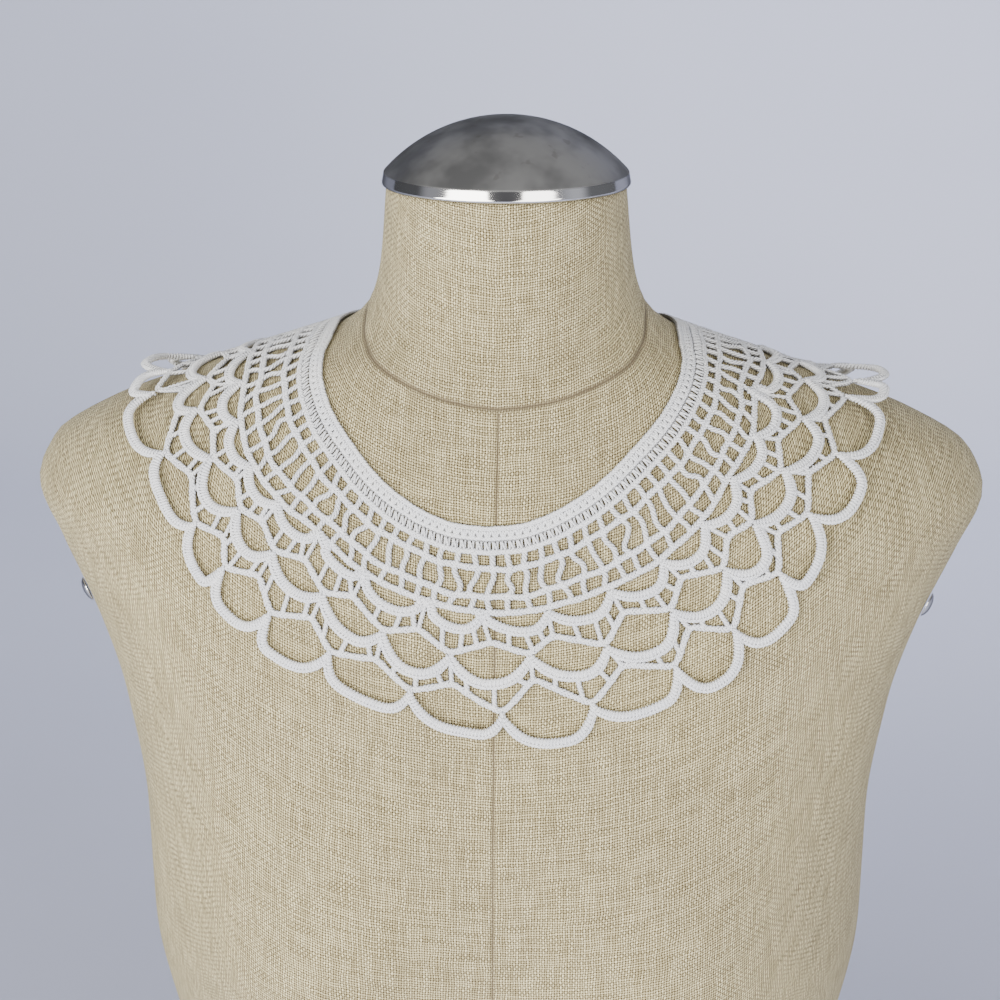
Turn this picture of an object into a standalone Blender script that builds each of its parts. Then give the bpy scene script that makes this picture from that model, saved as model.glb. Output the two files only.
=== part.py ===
"""Crocheted lace collar lying on a limbless, linen-covered dress form.

Metres, +Z up. The front of the form faces -Y, its right-hand side in a front view is +X,
and the origin is at the middle of the flat base.

The collar is laid out flat in its own two coordinates, and then laid on the form:
  along   0 at one end of the collar, SCALLOPS at the other, where the ends meet at the centre back
  reach   millimetres outwards from the neckline, down the form
"""
import math

import bmesh
import bpy
import numpy as np
from mathutils import Vector
from mathutils.geometry import delaunay_2d_cdt

MM = 0.001

# The dress form, sizes in millimetres: height, half width, depth to the front and to the back
# of the middle, and the power of the section's curve (2 is an ellipse, more is squarer)
HEIGHT, WIDTH, FRONT, BACK, POWER = range(5)
FORM_SECTIONS = np.array([
    [0.0, 150.0, 100.0, 108.0, 2.30],     # base, at the high hip
    [45.0, 138.0, 94.0, 102.0, 2.25],
    [95.0, 121.0, 86.0, 92.0, 2.15],      # waist
    [145.0, 131.0, 92.0, 92.0, 2.20],
    [195.0, 143.0, 100.0, 97.0, 2.35],
    [250.0, 151.8, 106.0, 102.0, 2.50],   # bust line
    [300.0, 152.2, 106.0, 107.0, 2.60],   # underarm
    [350.0, 158.8, 100.0, 109.0, 2.70],
    [385.0, 169.4, 94.0, 106.0, 2.70],
    [415.0, 183.9, 87.0, 100.0, 2.50],
    [435.0, 193.1, 81.0, 94.0, 2.20],     # shoulder point
    [450.0, 187.0, 76.0, 88.0, 1.90],
    [465.0, 164.0, 69.5, 80.0, 1.70],
    [480.0, 124.0, 63.0, 70.0, 1.62],
    [490.0, 91.0, 59.0, 63.0, 1.70],
    [498.0, 67.0, 55.5, 57.5, 1.85],
    [508.0, 55.3, 52.0, 53.0, 2.00],      # foot of the neck
    [525.0, 50.2, 49.8, 49.8, 2.00],
    [556.0, 47.0, 47.0, 47.0, 2.00],      # top of the neck
])
NECK_TOP = FORM_SECTIONS[-1, HEIGHT]
# How far the middle of a section lies behind the origin, by height: the neck leans forward
LEAN = np.array([[0.0, 3.4], [95.0, 3.4], [300.0, 3.4], [490.0, -0.6], [NECK_TOP, -8.6]])
BUST_TURN = 33.0          # degrees to each side of the centre front
BUST_WIDTH = 20.0         # degrees
BUST_RISE = 15.0
BUST_HEIGHT = 250.0
BUST_ABOVE, BUST_BELOW = 62.0, 45.0
BASE_ROUND = 4.0
FORM_RINGS = 30
FORM_SIDES = 56

# The steel cap on the neck and the screws of the arm plates
CAP_RADIUS = 48.8
CAP_HEIGHT = 26.5
CAP_ROLL = 3.0
CAP_SEAT = 0.4
CAP_SIDES = 32
SCREW_RADIUS = 5.0
SCREW_PROUD = 2.0
SCREW_HEIGHT = 393.0
SCREW_TURN = 79.0
SCREW_SEAT = 0.5

# The neckline: degrees from the centre front, height on the form
NECKLINE = np.array([
    [0.0, 438.3], [8.0, 439.3], [16.0, 442.8], [25.0, 449.5], [33.0, 457.3], [42.0, 467.5],
    [50.0, 476.0], [58.0, 484.5], [66.0, 491.0], [76.0, 495.6], [90.0, 498.0], [110.0, 496.5],
    [135.0, 489.0], [160.0, 481.5], [180.0, 479.0],
])
NECKLINE_SKEW = 2.5       # degrees: the collar sits a little askew at the front
# How much the lace is stretched outwards: degrees from the centre front, factor
STRETCH = np.array([[0.0, 1.0], [15.0, 1.02], [30.0, 1.09], [45.0, 1.15], [60.0, 1.15],
                    [80.0, 1.10], [100.0, 1.04], [180.0, 1.0]])
SCALLOPS = 28.0           # units along the collar from end to end
REACH_MAX = 96
GRID_PER_SCALLOP = 16
OPENING = 0.05            # half gap between the ends at the neckline, in scallops
OPENING_FLARE = 0.0015    # and how it grows with each millimetre of reach
CLEAR = 0.9               # from the form's surface to the underside of the lace
SHOULDER_LIFT = 11.0      # the outer loops stand proud where they pass over the shoulders
SHOULDER_TURN, SHOULDER_SPAN = 96.0, 14.0
SHOULDER_FROM = 58.0      # reach from which they do
SEAM = 0.3                # between the pieces
LOOP_SEAM = 0.9           # above the outer loops, whose walls lean inwards at the shoulders

# Bands of the collar, in millimetres of reach
BAND_OUT = 10.8
NET_OUT = 33.2
POSTS = 90                # tall posts of the filet net
POST_GAP_IN, POST_GAP_OUT = 17.4, 26.0
POST_GAP_SHARE = 0.60     # of one post's pitch
LENS_IN, LENS_DEEP = 35.4, 4.6
ARC_WIDE = 4.6            # the thick arcs under the lens holes
CHAIN = 2.6               # width of a chain line
ARC_2_DEEP, ARC_2_WIDE = 6.6, 4.2
LOOP_INSIDE, LOOP_OUTSIDE = 2.9, 1.5    # an outer loop's cord, about the reach given for it
ARC_FULLNESS, LOOP_FULLNESS = 2.3, 3.4
ARC_TUCK = 1.5            # how far a thick arc's foot reaches up between two lens holes
LENS_SHARES = (0.12, 0.28, 0.50, 0.72, 0.88)
ARC_SHARES = (0.04, 0.20, 0.50, 0.80, 0.96)
LOOP_SHARES = (0.0, 0.06, 0.22, 0.50, 0.78, 0.94, 1.0)
SLIT_NEAR, SLIT_FAR = 0.06, 0.21        # from a tie, in shares of the scallop
SLIT_2_NEAR, SLIT_2_FAR = 0.04, 0.17
SLIT_EDGE, SLIT_LEAST = 0.2, 0.4
TIE_HALF = 0.075          # half width of a tie, in scallops
TIE_LONG = 1.0
LOOP_NOTCH = 4.2          # from a tie's top to where two outer loops part
LOOP_STIFF = 0.35         # share of a loop's lean that its round ends don't take
BAND_WALL, NET_WALL, SCALLOP_WALL, LOOP_WALL = 2.2, 1.8, 2.2, 3.0
PITCH = 30.0              # a scallop's width in millimetres, for even triangles
INSIDE_WITH_HOLES = 2     # the triangulation's way of leaving the holes open

# The scallops seen from the front, from the left shoulder to the right one, hand spaced.
# For each of three rows: where it is tied, in scallops along, and how far out. For the two zigzag
# chains: how far out their peaks lie under the ties. For the outer loop on the right of each tie
# of the third row: how far it reaches, and how it leans.
TIE_1, PEAK_1, TIE_2, OUT_2, PEAK_2, TIE_3, OUT_3, LOOP_OUT, LOOP_LEAN = range(9)
SEEN = np.array([
    [7.65, 44.0, 7.82, 52.5, 59.4, 7.16, 71.5, 80.2, -0.10],
    [8.45, 44.6, 8.76, 49.5, 57.1, 8.25, 67.2, 72.8, 0.0],
    [9.28, 42.1, 9.68, 48.6, 57.4, 9.38, 65.7, 76.7, 0.16],
    [10.07, 42.5, 10.48, 48.5, 57.0, 10.06, 67.2, 78.7, 0.0],
    [10.92, 41.6, 11.42, 47.9, 56.4, 10.90, 67.0, 78.2, -0.20],
    [11.87, 41.4, 12.43, 48.6, 57.4, 11.83, 65.2, 75.3, -0.05],
    [12.95, 41.8, 13.43, 49.3, 58.4, 12.97, 67.0, 79.0, 0.20],
    [13.86, 42.4, 14.56, 50.0, 57.4, 14.15, 72.1, 86.0, 0.14],
    [14.90, 43.4, 15.62, 55.6, 62.4, 15.27, 75.3, 84.1, 0.20],
    [15.92, 44.9, 16.63, 55.5, 62.2, 16.37, 74.3, 87.1, 0.0],
    [16.83, 45.3, 17.53, 54.6, 61.6, 17.21, 74.7, 85.9, 0.12],
    [17.66, 44.2, 18.25, 50.4, 57.6, 18.07, 70.2, 78.9, -0.10],
    [18.48, 41.4, 19.13, 48.4, 56.0, 18.87, 64.4, 76.9, 0.08],
    [19.35, 41.2, 20.10, 49.6, 56.4, 19.84, 64.9, 78.1, 0.12],
    [20.17, 41.9, 21.00, 49.4, 57.0, 20.90, 66.0, 80.0, 0.12],
])
HIDDEN = 8                # scallops on each side behind the shoulders, evenly spaced
PLAIN_PEAK_1, PLAIN_OUT_2, PLAIN_PEAK_2, PLAIN_OUT_3, PLAIN_LOOP_OUT = 42.4, 49.5, 57.4, 67.5, 78.5

# The button and its loop at the centre back of the neck band
BUTTON_RADIUS = 4.5
BUTTON_THICK = 2.6
BUTTON_ALONG = 0.62
BUTTON_REACH = 5.4
BUTTON_SEAT = 0.35
LOOP_THREAD = 0.9
LOOP_PLAY = 0.4
LOOP_ROOT = -0.42         # where the loop starts, on the far side of the opening
LOOP_HALF_WIDTH = 3.2


def smooth_table(table, column, at):
    """Smooth curve through a table's column, flat at its highs and lows (a monotone cubic)."""
    x, y = table[:, 0], table[:, column]
    at = np.asarray(at, float)
    step = np.diff(x)
    rise = np.diff(y) / step
    slope = np.zeros(len(x))
    slope[0], slope[-1] = rise[0], rise[-1]
    same = rise[:-1] * rise[1:] > 0
    total = np.where(same, rise[:-1] + rise[1:], 1.0)
    slope[1:-1] = np.where(same, 2 * rise[:-1] * rise[1:] / total, 0.0)
    i = np.clip(np.searchsorted(x, at) - 1, 0, len(x) - 2)
    s = (at - x[i]) / step[i]
    return ((1 + 2 * s) * (1 - s) ** 2 * y[i] + s * (1 - s) ** 2 * step[i] * slope[i]
            + s * s * (3 - 2 * s) * y[i + 1] + s * s * (s - 1) * step[i] * slope[i + 1])


def form_point(turn, height):
    """Point of the form's surface, by angle from the centre front (radians) and height (mm)."""
    turn, height = np.broadcast_arrays(np.asarray(turn, float), np.asarray(height, float))
    width, front, back, power = (smooth_table(FORM_SECTIONS, c, height)
                                 for c in (WIDTH, FRONT, BACK, POWER))
    frontness = 0.5 + 0.5 * np.tanh(3.0 * np.cos(turn))
    depth = back + (front - back) * frontness
    radius = ((np.abs(np.sin(turn)) / width) ** power
              + (np.abs(np.cos(turn)) / depth) ** power) ** (-1 / power)
    reach = np.where(height > BUST_HEIGHT, BUST_ABOVE, BUST_BELOW)
    for side in (-1, 1):
        off = turn - side * math.radians(BUST_TURN)
        off = (off + math.pi) % (2 * math.pi) - math.pi
        radius = radius + BUST_RISE * np.exp(-(off / math.radians(BUST_WIDTH)) ** 2
                                             - ((height - BUST_HEIGHT) / reach) ** 2)
    middle = smooth_table(LEAN, 1, height)
    return np.stack([radius * np.sin(turn), middle - radius * np.cos(turn), height], -1)


def neckline_height(turn):
    """Height of the neckline at an angle; the skew fades out from the centre front to the sides."""
    facing = np.clip(np.cos(turn), 0, None)
    degrees = np.degrees(turn) + NECKLINE_SKEW * facing ** 2
    return smooth_table(NECKLINE, 1, np.abs(degrees))


def lay_out_collar():
    """Grid of points and normals under the collar: a row for each millimetre of reach.

    From each point of the neckline a line runs down the form, and reach is measured along it.
    Each row is then divided evenly from one end of the collar to the other.
    """
    turns = np.radians(np.linspace(-180, 180, 1441))
    down = np.linspace(0, 1.45 * REACH_MAX, 281)
    lines = form_point(turns[None], neckline_height(turns)[None] - down[:, None])
    run = np.zeros(lines.shape[:2])
    run[1:] = np.cumsum(np.linalg.norm(np.diff(lines, axis=0), axis=-1), axis=0)
    stretch = smooth_table(STRETCH, 1, np.abs(np.degrees(turns)))
    reaches = np.arange(REACH_MAX + 1.0)
    cells = int(SCALLOPS) * GRID_PER_SCALLOP
    even = np.linspace(0, 1, cells + 1)
    level = np.empty((len(reaches), len(turns), 3))
    for j in range(len(turns)):
        for axis in range(3):
            level[:, j, axis] = np.interp(reaches * stretch[j], run[:, j], lines[:, j, axis])
    points = np.empty((len(reaches), cells + 1, 3))
    for k, row in enumerate(level):
        length = np.append(0, np.cumsum(np.linalg.norm(np.diff(row, axis=0), axis=1)))
        for axis in range(3):
            points[k, :, axis] = np.interp(even * length[-1], length, row[:, axis])
    normals = np.cross(np.gradient(points, axis=0), np.gradient(points, axis=1))
    normals /= np.linalg.norm(normals, axis=-1, keepdims=True)
    return points, normals


POINTS, NORMALS = lay_out_collar()


def between(grid, along, reach):
    """Value of a grid between its rows and columns."""
    a = np.clip(along * GRID_PER_SCALLOP, 0, grid.shape[1] - 1.001)
    b = np.clip(reach, 0, grid.shape[0] - 1.001)
    i, j = a.astype(int), b.astype(int)
    s, t = (a - i)[..., None], (b - j)[..., None]
    inner = grid[j, i] * (1 - s) + grid[j, i + 1] * s
    outer = grid[j + 1, i] * (1 - s) + grid[j + 1, i + 1] * s
    return inner * (1 - t) + outer * t


def lay(along, reach, height=CLEAR):
    """Points on the form for places in the collar, a height off the surface, in metres."""
    along, reach = np.asarray(along, float), np.asarray(reach, float)
    middle = SCALLOPS / 2
    half_gap = OPENING + OPENING_FLARE * reach
    along = middle + (along - middle) * (1 - half_gap / middle)
    base, normal = between(POINTS, along, reach), between(NORMALS, along, reach)
    turn = np.degrees(np.arctan2(np.abs(base[..., 0]), -base[..., 1]))
    outwards = np.clip((reach - SHOULDER_FROM) / (REACH_MAX - SHOULDER_FROM), 0, 1)
    lift = SHOULDER_LIFT * outwards * np.exp(-((turn - SHOULDER_TURN) / SHOULDER_SPAN) ** 2)
    return (base + normal * (height + lift)[..., None]) * MM


def rows_of_ties():
    """Where the three rows of scallops are tied, seen ones by hand and hidden ones evenly.

    A second-row tie lies under each first scallop, and a third-row tie under each second one.
    """
    left = np.linspace(0, SEEN[0, TIE_1], HIDDEN + 1)[:-1]
    right = np.linspace(SEEN[-1, TIE_1], SCALLOPS, HIDDEN + 1)[1:]
    first = np.concatenate([left, SEEN[:, TIE_1], right])
    halfway = (first[:-1] + first[1:]) / 2
    second = np.concatenate([halfway[:HIDDEN], SEEN[:, TIE_2], halfway[HIDDEN + len(SEEN):]])
    halfway = (second[:-1] + second[1:]) / 2
    third = np.concatenate([halfway[:HIDDEN - 1], SEEN[:, TIE_3], halfway[HIDDEN + len(SEEN) - 1:]])
    return first, second, third


def with_hidden(column, plain, before, after):
    """A column of the seen scallops with the hidden ones' plain value on both sides."""
    return np.concatenate([np.full(before, plain), SEEN[:, column], np.full(after, plain)])


def arch(share, power):
    """Rise of an arch over its span: 0 at both feet, 1 in the middle, fuller for a high power."""
    return np.sqrt(np.clip(1 - np.abs(2 * share - 1) ** power, 0, 1))


def material(name, colour, roughness, metallic=0.0):
    made = bpy.data.materials.new(name)
    made.use_nodes = True
    shader = made.node_tree.nodes["Principled BSDF"]
    shader.inputs["Base Color"].default_value = (*colour, 1.0)
    shader.inputs["Roughness"].default_value = roughness
    shader.inputs["Metallic"].default_value = metallic
    return made


def add_object(name, mesh, made_of, smooth_below=50.0):
    mesh.materials.append(made_of)
    mesh.shade_smooth()
    mesh.set_sharp_from_angle(angle=math.radians(smooth_below))
    thing = bpy.data.objects.new(name, mesh)
    COLLECTION.objects.link(thing)
    return thing


def make_form(linen):
    """Torso and neck in one: a loft through the sections, closed flat at the base and the neck."""
    fine = np.arange(0, NECK_TOP + 1)
    line = form_point(math.radians(70), fine)
    run = np.append(0, np.cumsum(np.linalg.norm(np.diff(line, axis=0), axis=1)))
    heights = np.interp(np.linspace(0, run[-1], FORM_RINGS), run, fine)
    heights = np.concatenate([[0.0, BASE_ROUND * 0.3, BASE_ROUND], heights[1:]])
    turns = np.arange(FORM_SIDES) * 2 * math.pi / FORM_SIDES
    rings = form_point(turns[None], heights[:, None])
    tuck = BASE_ROUND * (1 - np.sqrt(1 - np.clip(1 - heights / BASE_ROUND, 0, 1) ** 2))
    middle = rings.mean(axis=1, keepdims=True)
    flat = (rings - middle) * [1, 1, 0]
    rings = rings - flat / np.linalg.norm(flat, axis=-1, keepdims=True) * tuck[:, None, None]
    count = len(heights)
    faces = []
    for k in range(count - 1):
        for i in range(FORM_SIDES):
            j = (i + 1) % FORM_SIDES
            faces.append([k * FORM_SIDES + i, k * FORM_SIDES + j,
                          (k + 1) * FORM_SIDES + j, (k + 1) * FORM_SIDES + i])
    faces.append(list(range(FORM_SIDES))[::-1])
    faces.append(list(range((count - 1) * FORM_SIDES, count * FORM_SIDES)))
    mesh = bpy.data.meshes.new("form_body")
    mesh.from_pydata(rings.reshape(-1, 3) * MM, [], faces)
    return add_object("form_body", mesh, linen)


def make_neck_cap(steel):
    """Domed disc with a rolled rim, turned about the neck's own axis."""
    rim = [(CAP_RADIUS - CAP_ROLL + CAP_ROLL * math.sin(a), CAP_ROLL - CAP_ROLL * math.cos(a))
           for a in np.radians([0, 30, 60, 90, 130])]
    edge, low = rim[-1]
    ball = (edge ** 2 + (CAP_HEIGHT - low) ** 2) / (2 * (CAP_HEIGHT - low))
    spread = math.asin(edge / ball)
    dome = [(ball * math.sin(a), CAP_HEIGHT - ball + ball * math.cos(a))
            for a in np.linspace(0, spread, 8)[:-1]]
    profile = dome + rim[::-1] + [(0.0, 0.0)]
    mesh = bpy.data.meshes.new("neck_cap")
    lines = [(i, i + 1) for i in range(len(profile) - 1)]
    mesh.from_pydata([(x * MM, 0, z * MM) for x, z in profile], lines, [])
    cap = add_object("neck_cap", mesh, steel)
    turned = cap.modifiers.new("turned", "SCREW")
    turned.steps = turned.render_steps = CAP_SIDES
    turned.use_merge_vertices = True
    turned.merge_threshold = 0.00001
    cap.location = (0, smooth_table(LEAN, 1, NECK_TOP) * MM, (NECK_TOP + CAP_SEAT) * MM)
    return cap


def make_arm_screw(name, side, steel):
    """Low domed screw head in the middle of an arm plate, square to the surface."""
    turn = math.radians(SCREW_TURN) * side
    spot = form_point(turn, SCREW_HEIGHT)
    across = form_point(turn + 0.01, SCREW_HEIGHT) - form_point(turn - 0.01, SCREW_HEIGHT)
    up = form_point(turn, SCREW_HEIGHT + 1) - form_point(turn, SCREW_HEIGHT - 1)
    out = np.cross(across, up)
    out /= np.linalg.norm(out)
    bm = bmesh.new()
    bmesh.ops.create_cone(bm, cap_ends=True, segments=20, radius1=SCREW_RADIUS * MM,
                          radius2=SCREW_RADIUS * 0.72 * MM, depth=SCREW_PROUD * MM)
    mesh = bpy.data.meshes.new(name)
    bm.to_mesh(mesh)
    bm.free()
    screw = add_object(name, mesh, steel)
    screw.rotation_mode = "QUATERNION"
    screw.rotation_quaternion = Vector(out).to_track_quat("Z", "Y")
    screw.location = Vector(spot + out * (SCREW_SEAT + SCREW_PROUD / 2)) * MM
    return screw


def add_wall(thing, wall):
    """Thickness, grown outwards from the underside of the lace."""
    solid = thing.modifiers.new("wall", "SOLIDIFY")
    solid.thickness = wall * MM
    solid.offset = 1.0
    return thing


def make_band(cotton):
    """Neck band: a close-worked strip, a grid of cells laid round the neckline."""
    bm = bmesh.new()
    bmesh.ops.create_grid(bm, x_segments=POSTS, y_segments=2, size=0.5)
    grid = np.array([v.co for v in bm.verts])
    spots = lay((grid[:, 0] + 0.5) * SCALLOPS, (0.5 - grid[:, 1]) * BAND_OUT)
    for vertex, spot in zip(bm.verts, spots):
        vertex.co = spot
    mesh = bpy.data.meshes.new("neck_band")
    bm.to_mesh(mesh)
    bm.free()
    return add_wall(add_object("neck_band", mesh, cotton), BAND_WALL)


def make_cut_piece(name, outline, holes, wall, cotton):
    """Flat pattern with its holes, filled with triangles, laid on the form and given a wall."""
    rings = [outline] + holes
    first = np.cumsum([0] + [len(ring) for ring in rings])
    borders = [list(range(start, start + len(ring))) for start, ring in zip(first, rings)]
    pattern = [Vector((along * PITCH, -reach)) for ring in rings for along, reach in ring]
    verts, _, faces, *_ = delaunay_2d_cdt(pattern, [], borders, INSIDE_WITH_HOLES, 1e-6)
    spots = np.array([(v.x / PITCH, -v.y) for v in verts])
    mesh = bpy.data.meshes.new(name)
    mesh.from_pydata(lay(spots[:, 0], spots[:, 1]), [], faces)
    return add_wall(add_object(name, mesh, cotton), wall)


def seam_edge(reach):
    """Points across the whole collar at one reach, the same on both sides of a seam."""
    return [(a, reach) for a in np.linspace(0, SCALLOPS, POSTS + 1)]


def make_net(cotton):
    """Filet net: chain lines and posts, with the tall gaps between the posts cut through."""
    pitch = SCALLOPS / POSTS
    half = POST_GAP_SHARE / 2 * pitch
    holes = []
    for c in (np.arange(POSTS) + 0.5) * pitch:
        holes.append([(c - half, POST_GAP_IN), (c + half, POST_GAP_IN),
                      (c + half, POST_GAP_OUT), (c - half, POST_GAP_OUT)])
    outline = seam_edge(BAND_OUT + SEAM) + seam_edge(NET_OUT)[::-1]
    return make_cut_piece("filet_net", outline, holes, NET_WALL, cotton)


def zigzag(peaks, peak_reach, valleys, valley_reach):
    """Corners of a zigzag chain's upper edge: peak, valley, peak and so on, in order."""
    return sorted(list(zip(peaks, peak_reach)) + list(zip(valleys, valley_reach)))


def edge_reach(corners, along):
    """Reach of a zigzag's edge at places along it."""
    a, r = np.array(corners).T
    return np.interp(along, a, r)


def slit(chain, arc, near, far):
    """Gap between a thick arc's underside and the zigzag chain, or none where they are close."""
    ends = np.array([near, far])
    top, foot = arc(ends) + SLIT_EDGE, edge_reach(chain, ends)
    if (foot - top).min() < SLIT_LEAST:
        return []
    return [[(near, top[0]), (far, top[1]), (far, foot[1]), (near, foot[0])]]


def make_first_scallops(cotton):
    """Lens holes over thick arcs, with a zigzag chain on short posts below them."""
    first, second, _ = rows_of_ties()
    peak = with_hidden(PEAK_1, PLAIN_PEAK_1, HIDDEN, HIDDEN)
    valley = with_hidden(OUT_2, PLAIN_OUT_2, HIDDEN, HIDDEN - 1) - CHAIN
    chain = zigzag(first, peak, second, valley)
    holes = []
    for left, right in zip(first[:-1], first[1:]):
        span = right - left
        share = np.array(LENS_SHARES)
        lens = list(zip(left + span * share, LENS_IN + LENS_DEEP * arch(share, ARC_FULLNESS)))
        holes.append([(lens[0][0], LENS_IN), (lens[-1][0], LENS_IN)] + lens[::-1])

        def underside(along):
            rise = arch((along - left) / span, ARC_FULLNESS)
            return LENS_IN - ARC_TUCK + (LENS_DEEP + ARC_WIDE + ARC_TUCK) * rise

        holes += slit(chain, underside, left + SLIT_NEAR * span, left + SLIT_FAR * span)
        holes += slit(chain, underside, right - SLIT_NEAR * span, right - SLIT_FAR * span)
    outline = seam_edge(NET_OUT + SEAM) + [(a, r + CHAIN) for a, r in reversed(chain)]
    return make_cut_piece("scallops_first", outline, holes, SCALLOP_WALL, cotton)


def make_second_scallops(cotton):
    """Thick arcs tied under the first zigzag, with a second zigzag chain below them."""
    _, second, third = rows_of_ties()
    tie_top = with_hidden(OUT_2, PLAIN_OUT_2, HIDDEN, HIDDEN - 1) + SEAM
    peak = with_hidden(PEAK_2, PLAIN_PEAK_2, HIDDEN, HIDDEN - 1)
    valley = with_hidden(OUT_3, PLAIN_OUT_3, HIDDEN - 1, HIDDEN - 1) - CHAIN
    chain = zigzag(second, peak, third, valley)
    inner, holes = [(second[0] - TIE_HALF, tie_top[0])], []
    for k, (left, right) in enumerate(zip(second[:-1], second[1:])):
        span = right - left
        share = np.array(ARC_SHARES)
        top = tie_top[k] + (tie_top[k + 1] - tie_top[k]) * share + TIE_LONG
        reach = top + ARC_2_DEEP * arch(share, ARC_FULLNESS)
        inner += [(left + TIE_HALF, tie_top[k])]
        inner += list(zip(left + TIE_HALF + (span - 2 * TIE_HALF) * share, reach))
        inner += [(right - TIE_HALF, tie_top[k + 1])]

        def underside(along):
            rise = arch((along - left) / span, ARC_FULLNESS)
            return top.mean() + ARC_2_DEEP * rise + ARC_2_WIDE

        middle = third[k]
        holes += slit(chain, underside, middle + SLIT_2_NEAR * span, middle + SLIT_2_FAR * span)
        holes += slit(chain, underside, middle - SLIT_2_NEAR * span, middle - SLIT_2_FAR * span)
    inner += [(second[-1] + TIE_HALF, tie_top[-1])]
    outer = [(a, r + CHAIN) for a, r in reversed(chain)]
    outer = [(second[-1] + TIE_HALF, outer[0][1])] + outer + [(second[0] - TIE_HALF, outer[-1][1])]
    return make_cut_piece("scallops_second", inner + outer, holes, SCALLOP_WALL, cotton)


def make_outer_loops(cotton):
    """Third row: one thick cord looped from tie to tie, hanging free at the collar's edge."""
    _, _, third = rows_of_ties()
    tie_top = with_hidden(OUT_3, PLAIN_OUT_3, HIDDEN - 1, HIDDEN - 1) + LOOP_SEAM
    low = with_hidden(LOOP_OUT, PLAIN_LOOP_OUT, HIDDEN - 1, HIDDEN - 1)
    lean = with_hidden(LOOP_LEAN, 0.0, HIDDEN - 1, HIDDEN - 1)
    share = np.array(LOOP_SHARES)
    inner, outer = [(third[0] - TIE_HALF, tie_top[0])], []
    for k, (left, right) in enumerate(zip(third[:-1], third[1:])):
        span = right - left
        tie = tie_top[k] + (tie_top[k + 1] - tie_top[k]) * share
        rise = arch(share, LOOP_FULLNESS)
        sway = lean[k] * rise * (1 - LOOP_STIFF)
        hollow = tie + TIE_LONG + (low[k] - LOOP_INSIDE - tie - TIE_LONG) * rise
        edge = tie + LOOP_NOTCH + (low[k] + LOOP_OUTSIDE - tie - LOOP_NOTCH) * rise
        inner += [(left + TIE_HALF, tie_top[k])]
        inner += list(zip(left + TIE_HALF + (span - 2 * TIE_HALF) * share + sway, hollow))
        inner += [(right - TIE_HALF, tie_top[k + 1])]
        outer += list(zip(left + span * share + sway, edge))[(1 if k else 0):]
    inner += [(third[-1] + TIE_HALF, tie_top[-1])]
    start, end = (third[0] - TIE_HALF, outer[0][1]), (third[-1] + TIE_HALF, outer[-1][1])
    return make_cut_piece("outer_loops", inner + [end] + outer[::-1] + [start], [], LOOP_WALL, cotton)


def make_button(cotton):
    """Small covered button on the end of the neck band, square to the form."""
    spot = Vector(lay(BUTTON_ALONG, BUTTON_REACH, CLEAR + BAND_WALL + BUTTON_SEAT))
    out = spot - Vector(lay(BUTTON_ALONG, BUTTON_REACH, CLEAR))
    bm = bmesh.new()
    bmesh.ops.create_cone(bm, cap_ends=True, segments=20, radius1=BUTTON_RADIUS * MM,
                          radius2=BUTTON_RADIUS * 0.8 * MM, depth=BUTTON_THICK * MM)
    mesh = bpy.data.meshes.new("button")
    bm.to_mesh(mesh)
    bm.free()
    button = add_object("button", mesh, cotton, 35.0)
    button.rotation_mode = "QUATERNION"
    button.rotation_quaternion = out.to_track_quat("Z", "Y")
    button.location = spot + out.normalized() * (BUTTON_THICK / 2) * MM
    return button


def make_button_loop(cotton):
    """Thread loop on the other end of the neck band, passed across the opening round the button."""
    pitch = np.linalg.norm(lay(1.0, BUTTON_REACH) - lay(2.0, BUTTON_REACH)) / MM
    turn = np.radians(np.linspace(90, -90, 9))
    ring = BUTTON_RADIUS + LOOP_THREAD + LOOP_PLAY
    bend = [(BUTTON_ALONG + ring * math.cos(a) / pitch, BUTTON_REACH - ring * math.sin(a)) for a in turn]
    straight = np.linspace(LOOP_ROOT, BUTTON_ALONG, 7)[:-1]
    narrow = np.clip((straight - LOOP_ROOT) / (BUTTON_ALONG - LOOP_ROOT), 0, 1)
    half = LOOP_HALF_WIDTH + (ring - LOOP_HALF_WIDTH) * narrow
    path = list(zip(straight, BUTTON_REACH - half)) + bend + list(zip(straight, BUTTON_REACH + half))[::-1]
    along, reach = np.array(path).T
    height = CLEAR + BAND_WALL + BUTTON_SEAT + LOOP_THREAD
    spots = lay_past_the_end(along, reach, height)
    curve = bpy.data.curves.new("button_loop", "CURVE")
    curve.dimensions = "3D"
    curve.bevel_depth = LOOP_THREAD * MM
    curve.bevel_resolution = 1
    curve.use_fill_caps = True
    spline = curve.splines.new("POLY")
    spline.points.add(len(spots) - 1)
    for point, spot in zip(spline.points, spots):
        point.co = (*spot, 1.0)
    curve.materials.append(cotton)
    loop = bpy.data.objects.new("button_loop", curve)
    COLLECTION.objects.link(loop)
    return loop


def lay_past_the_end(along, reach, height):
    """Like lay, for places that pass the opening: the collar closes on itself at the centre back."""
    return lay(np.mod(along, SCALLOPS), reach, height)


COLLECTION = bpy.data.collections.new("lace_collar_on_dress_form")


def main():
    for thing in list(bpy.data.objects):
        bpy.data.objects.remove(thing, do_unlink=True)
    bpy.context.scene.collection.children.link(COLLECTION)
    linen = material("linen", (0.60, 0.52, 0.38), 0.9)
    steel = material("brushed_steel", (0.55, 0.54, 0.53), 0.35, 1.0)
    cotton = material("white_cotton", (0.90, 0.90, 0.88), 0.85)
    make_form(linen)
    make_neck_cap(steel)
    make_arm_screw("arm_screw_left", -1, steel)
    make_arm_screw("arm_screw_right", 1, steel)
    make_band(cotton)
    make_net(cotton)
    make_first_scallops(cotton)
    make_second_scallops(cotton)
    make_outer_loops(cotton)
    make_button(cotton)
    make_button_loop(cotton)


main()
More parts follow.
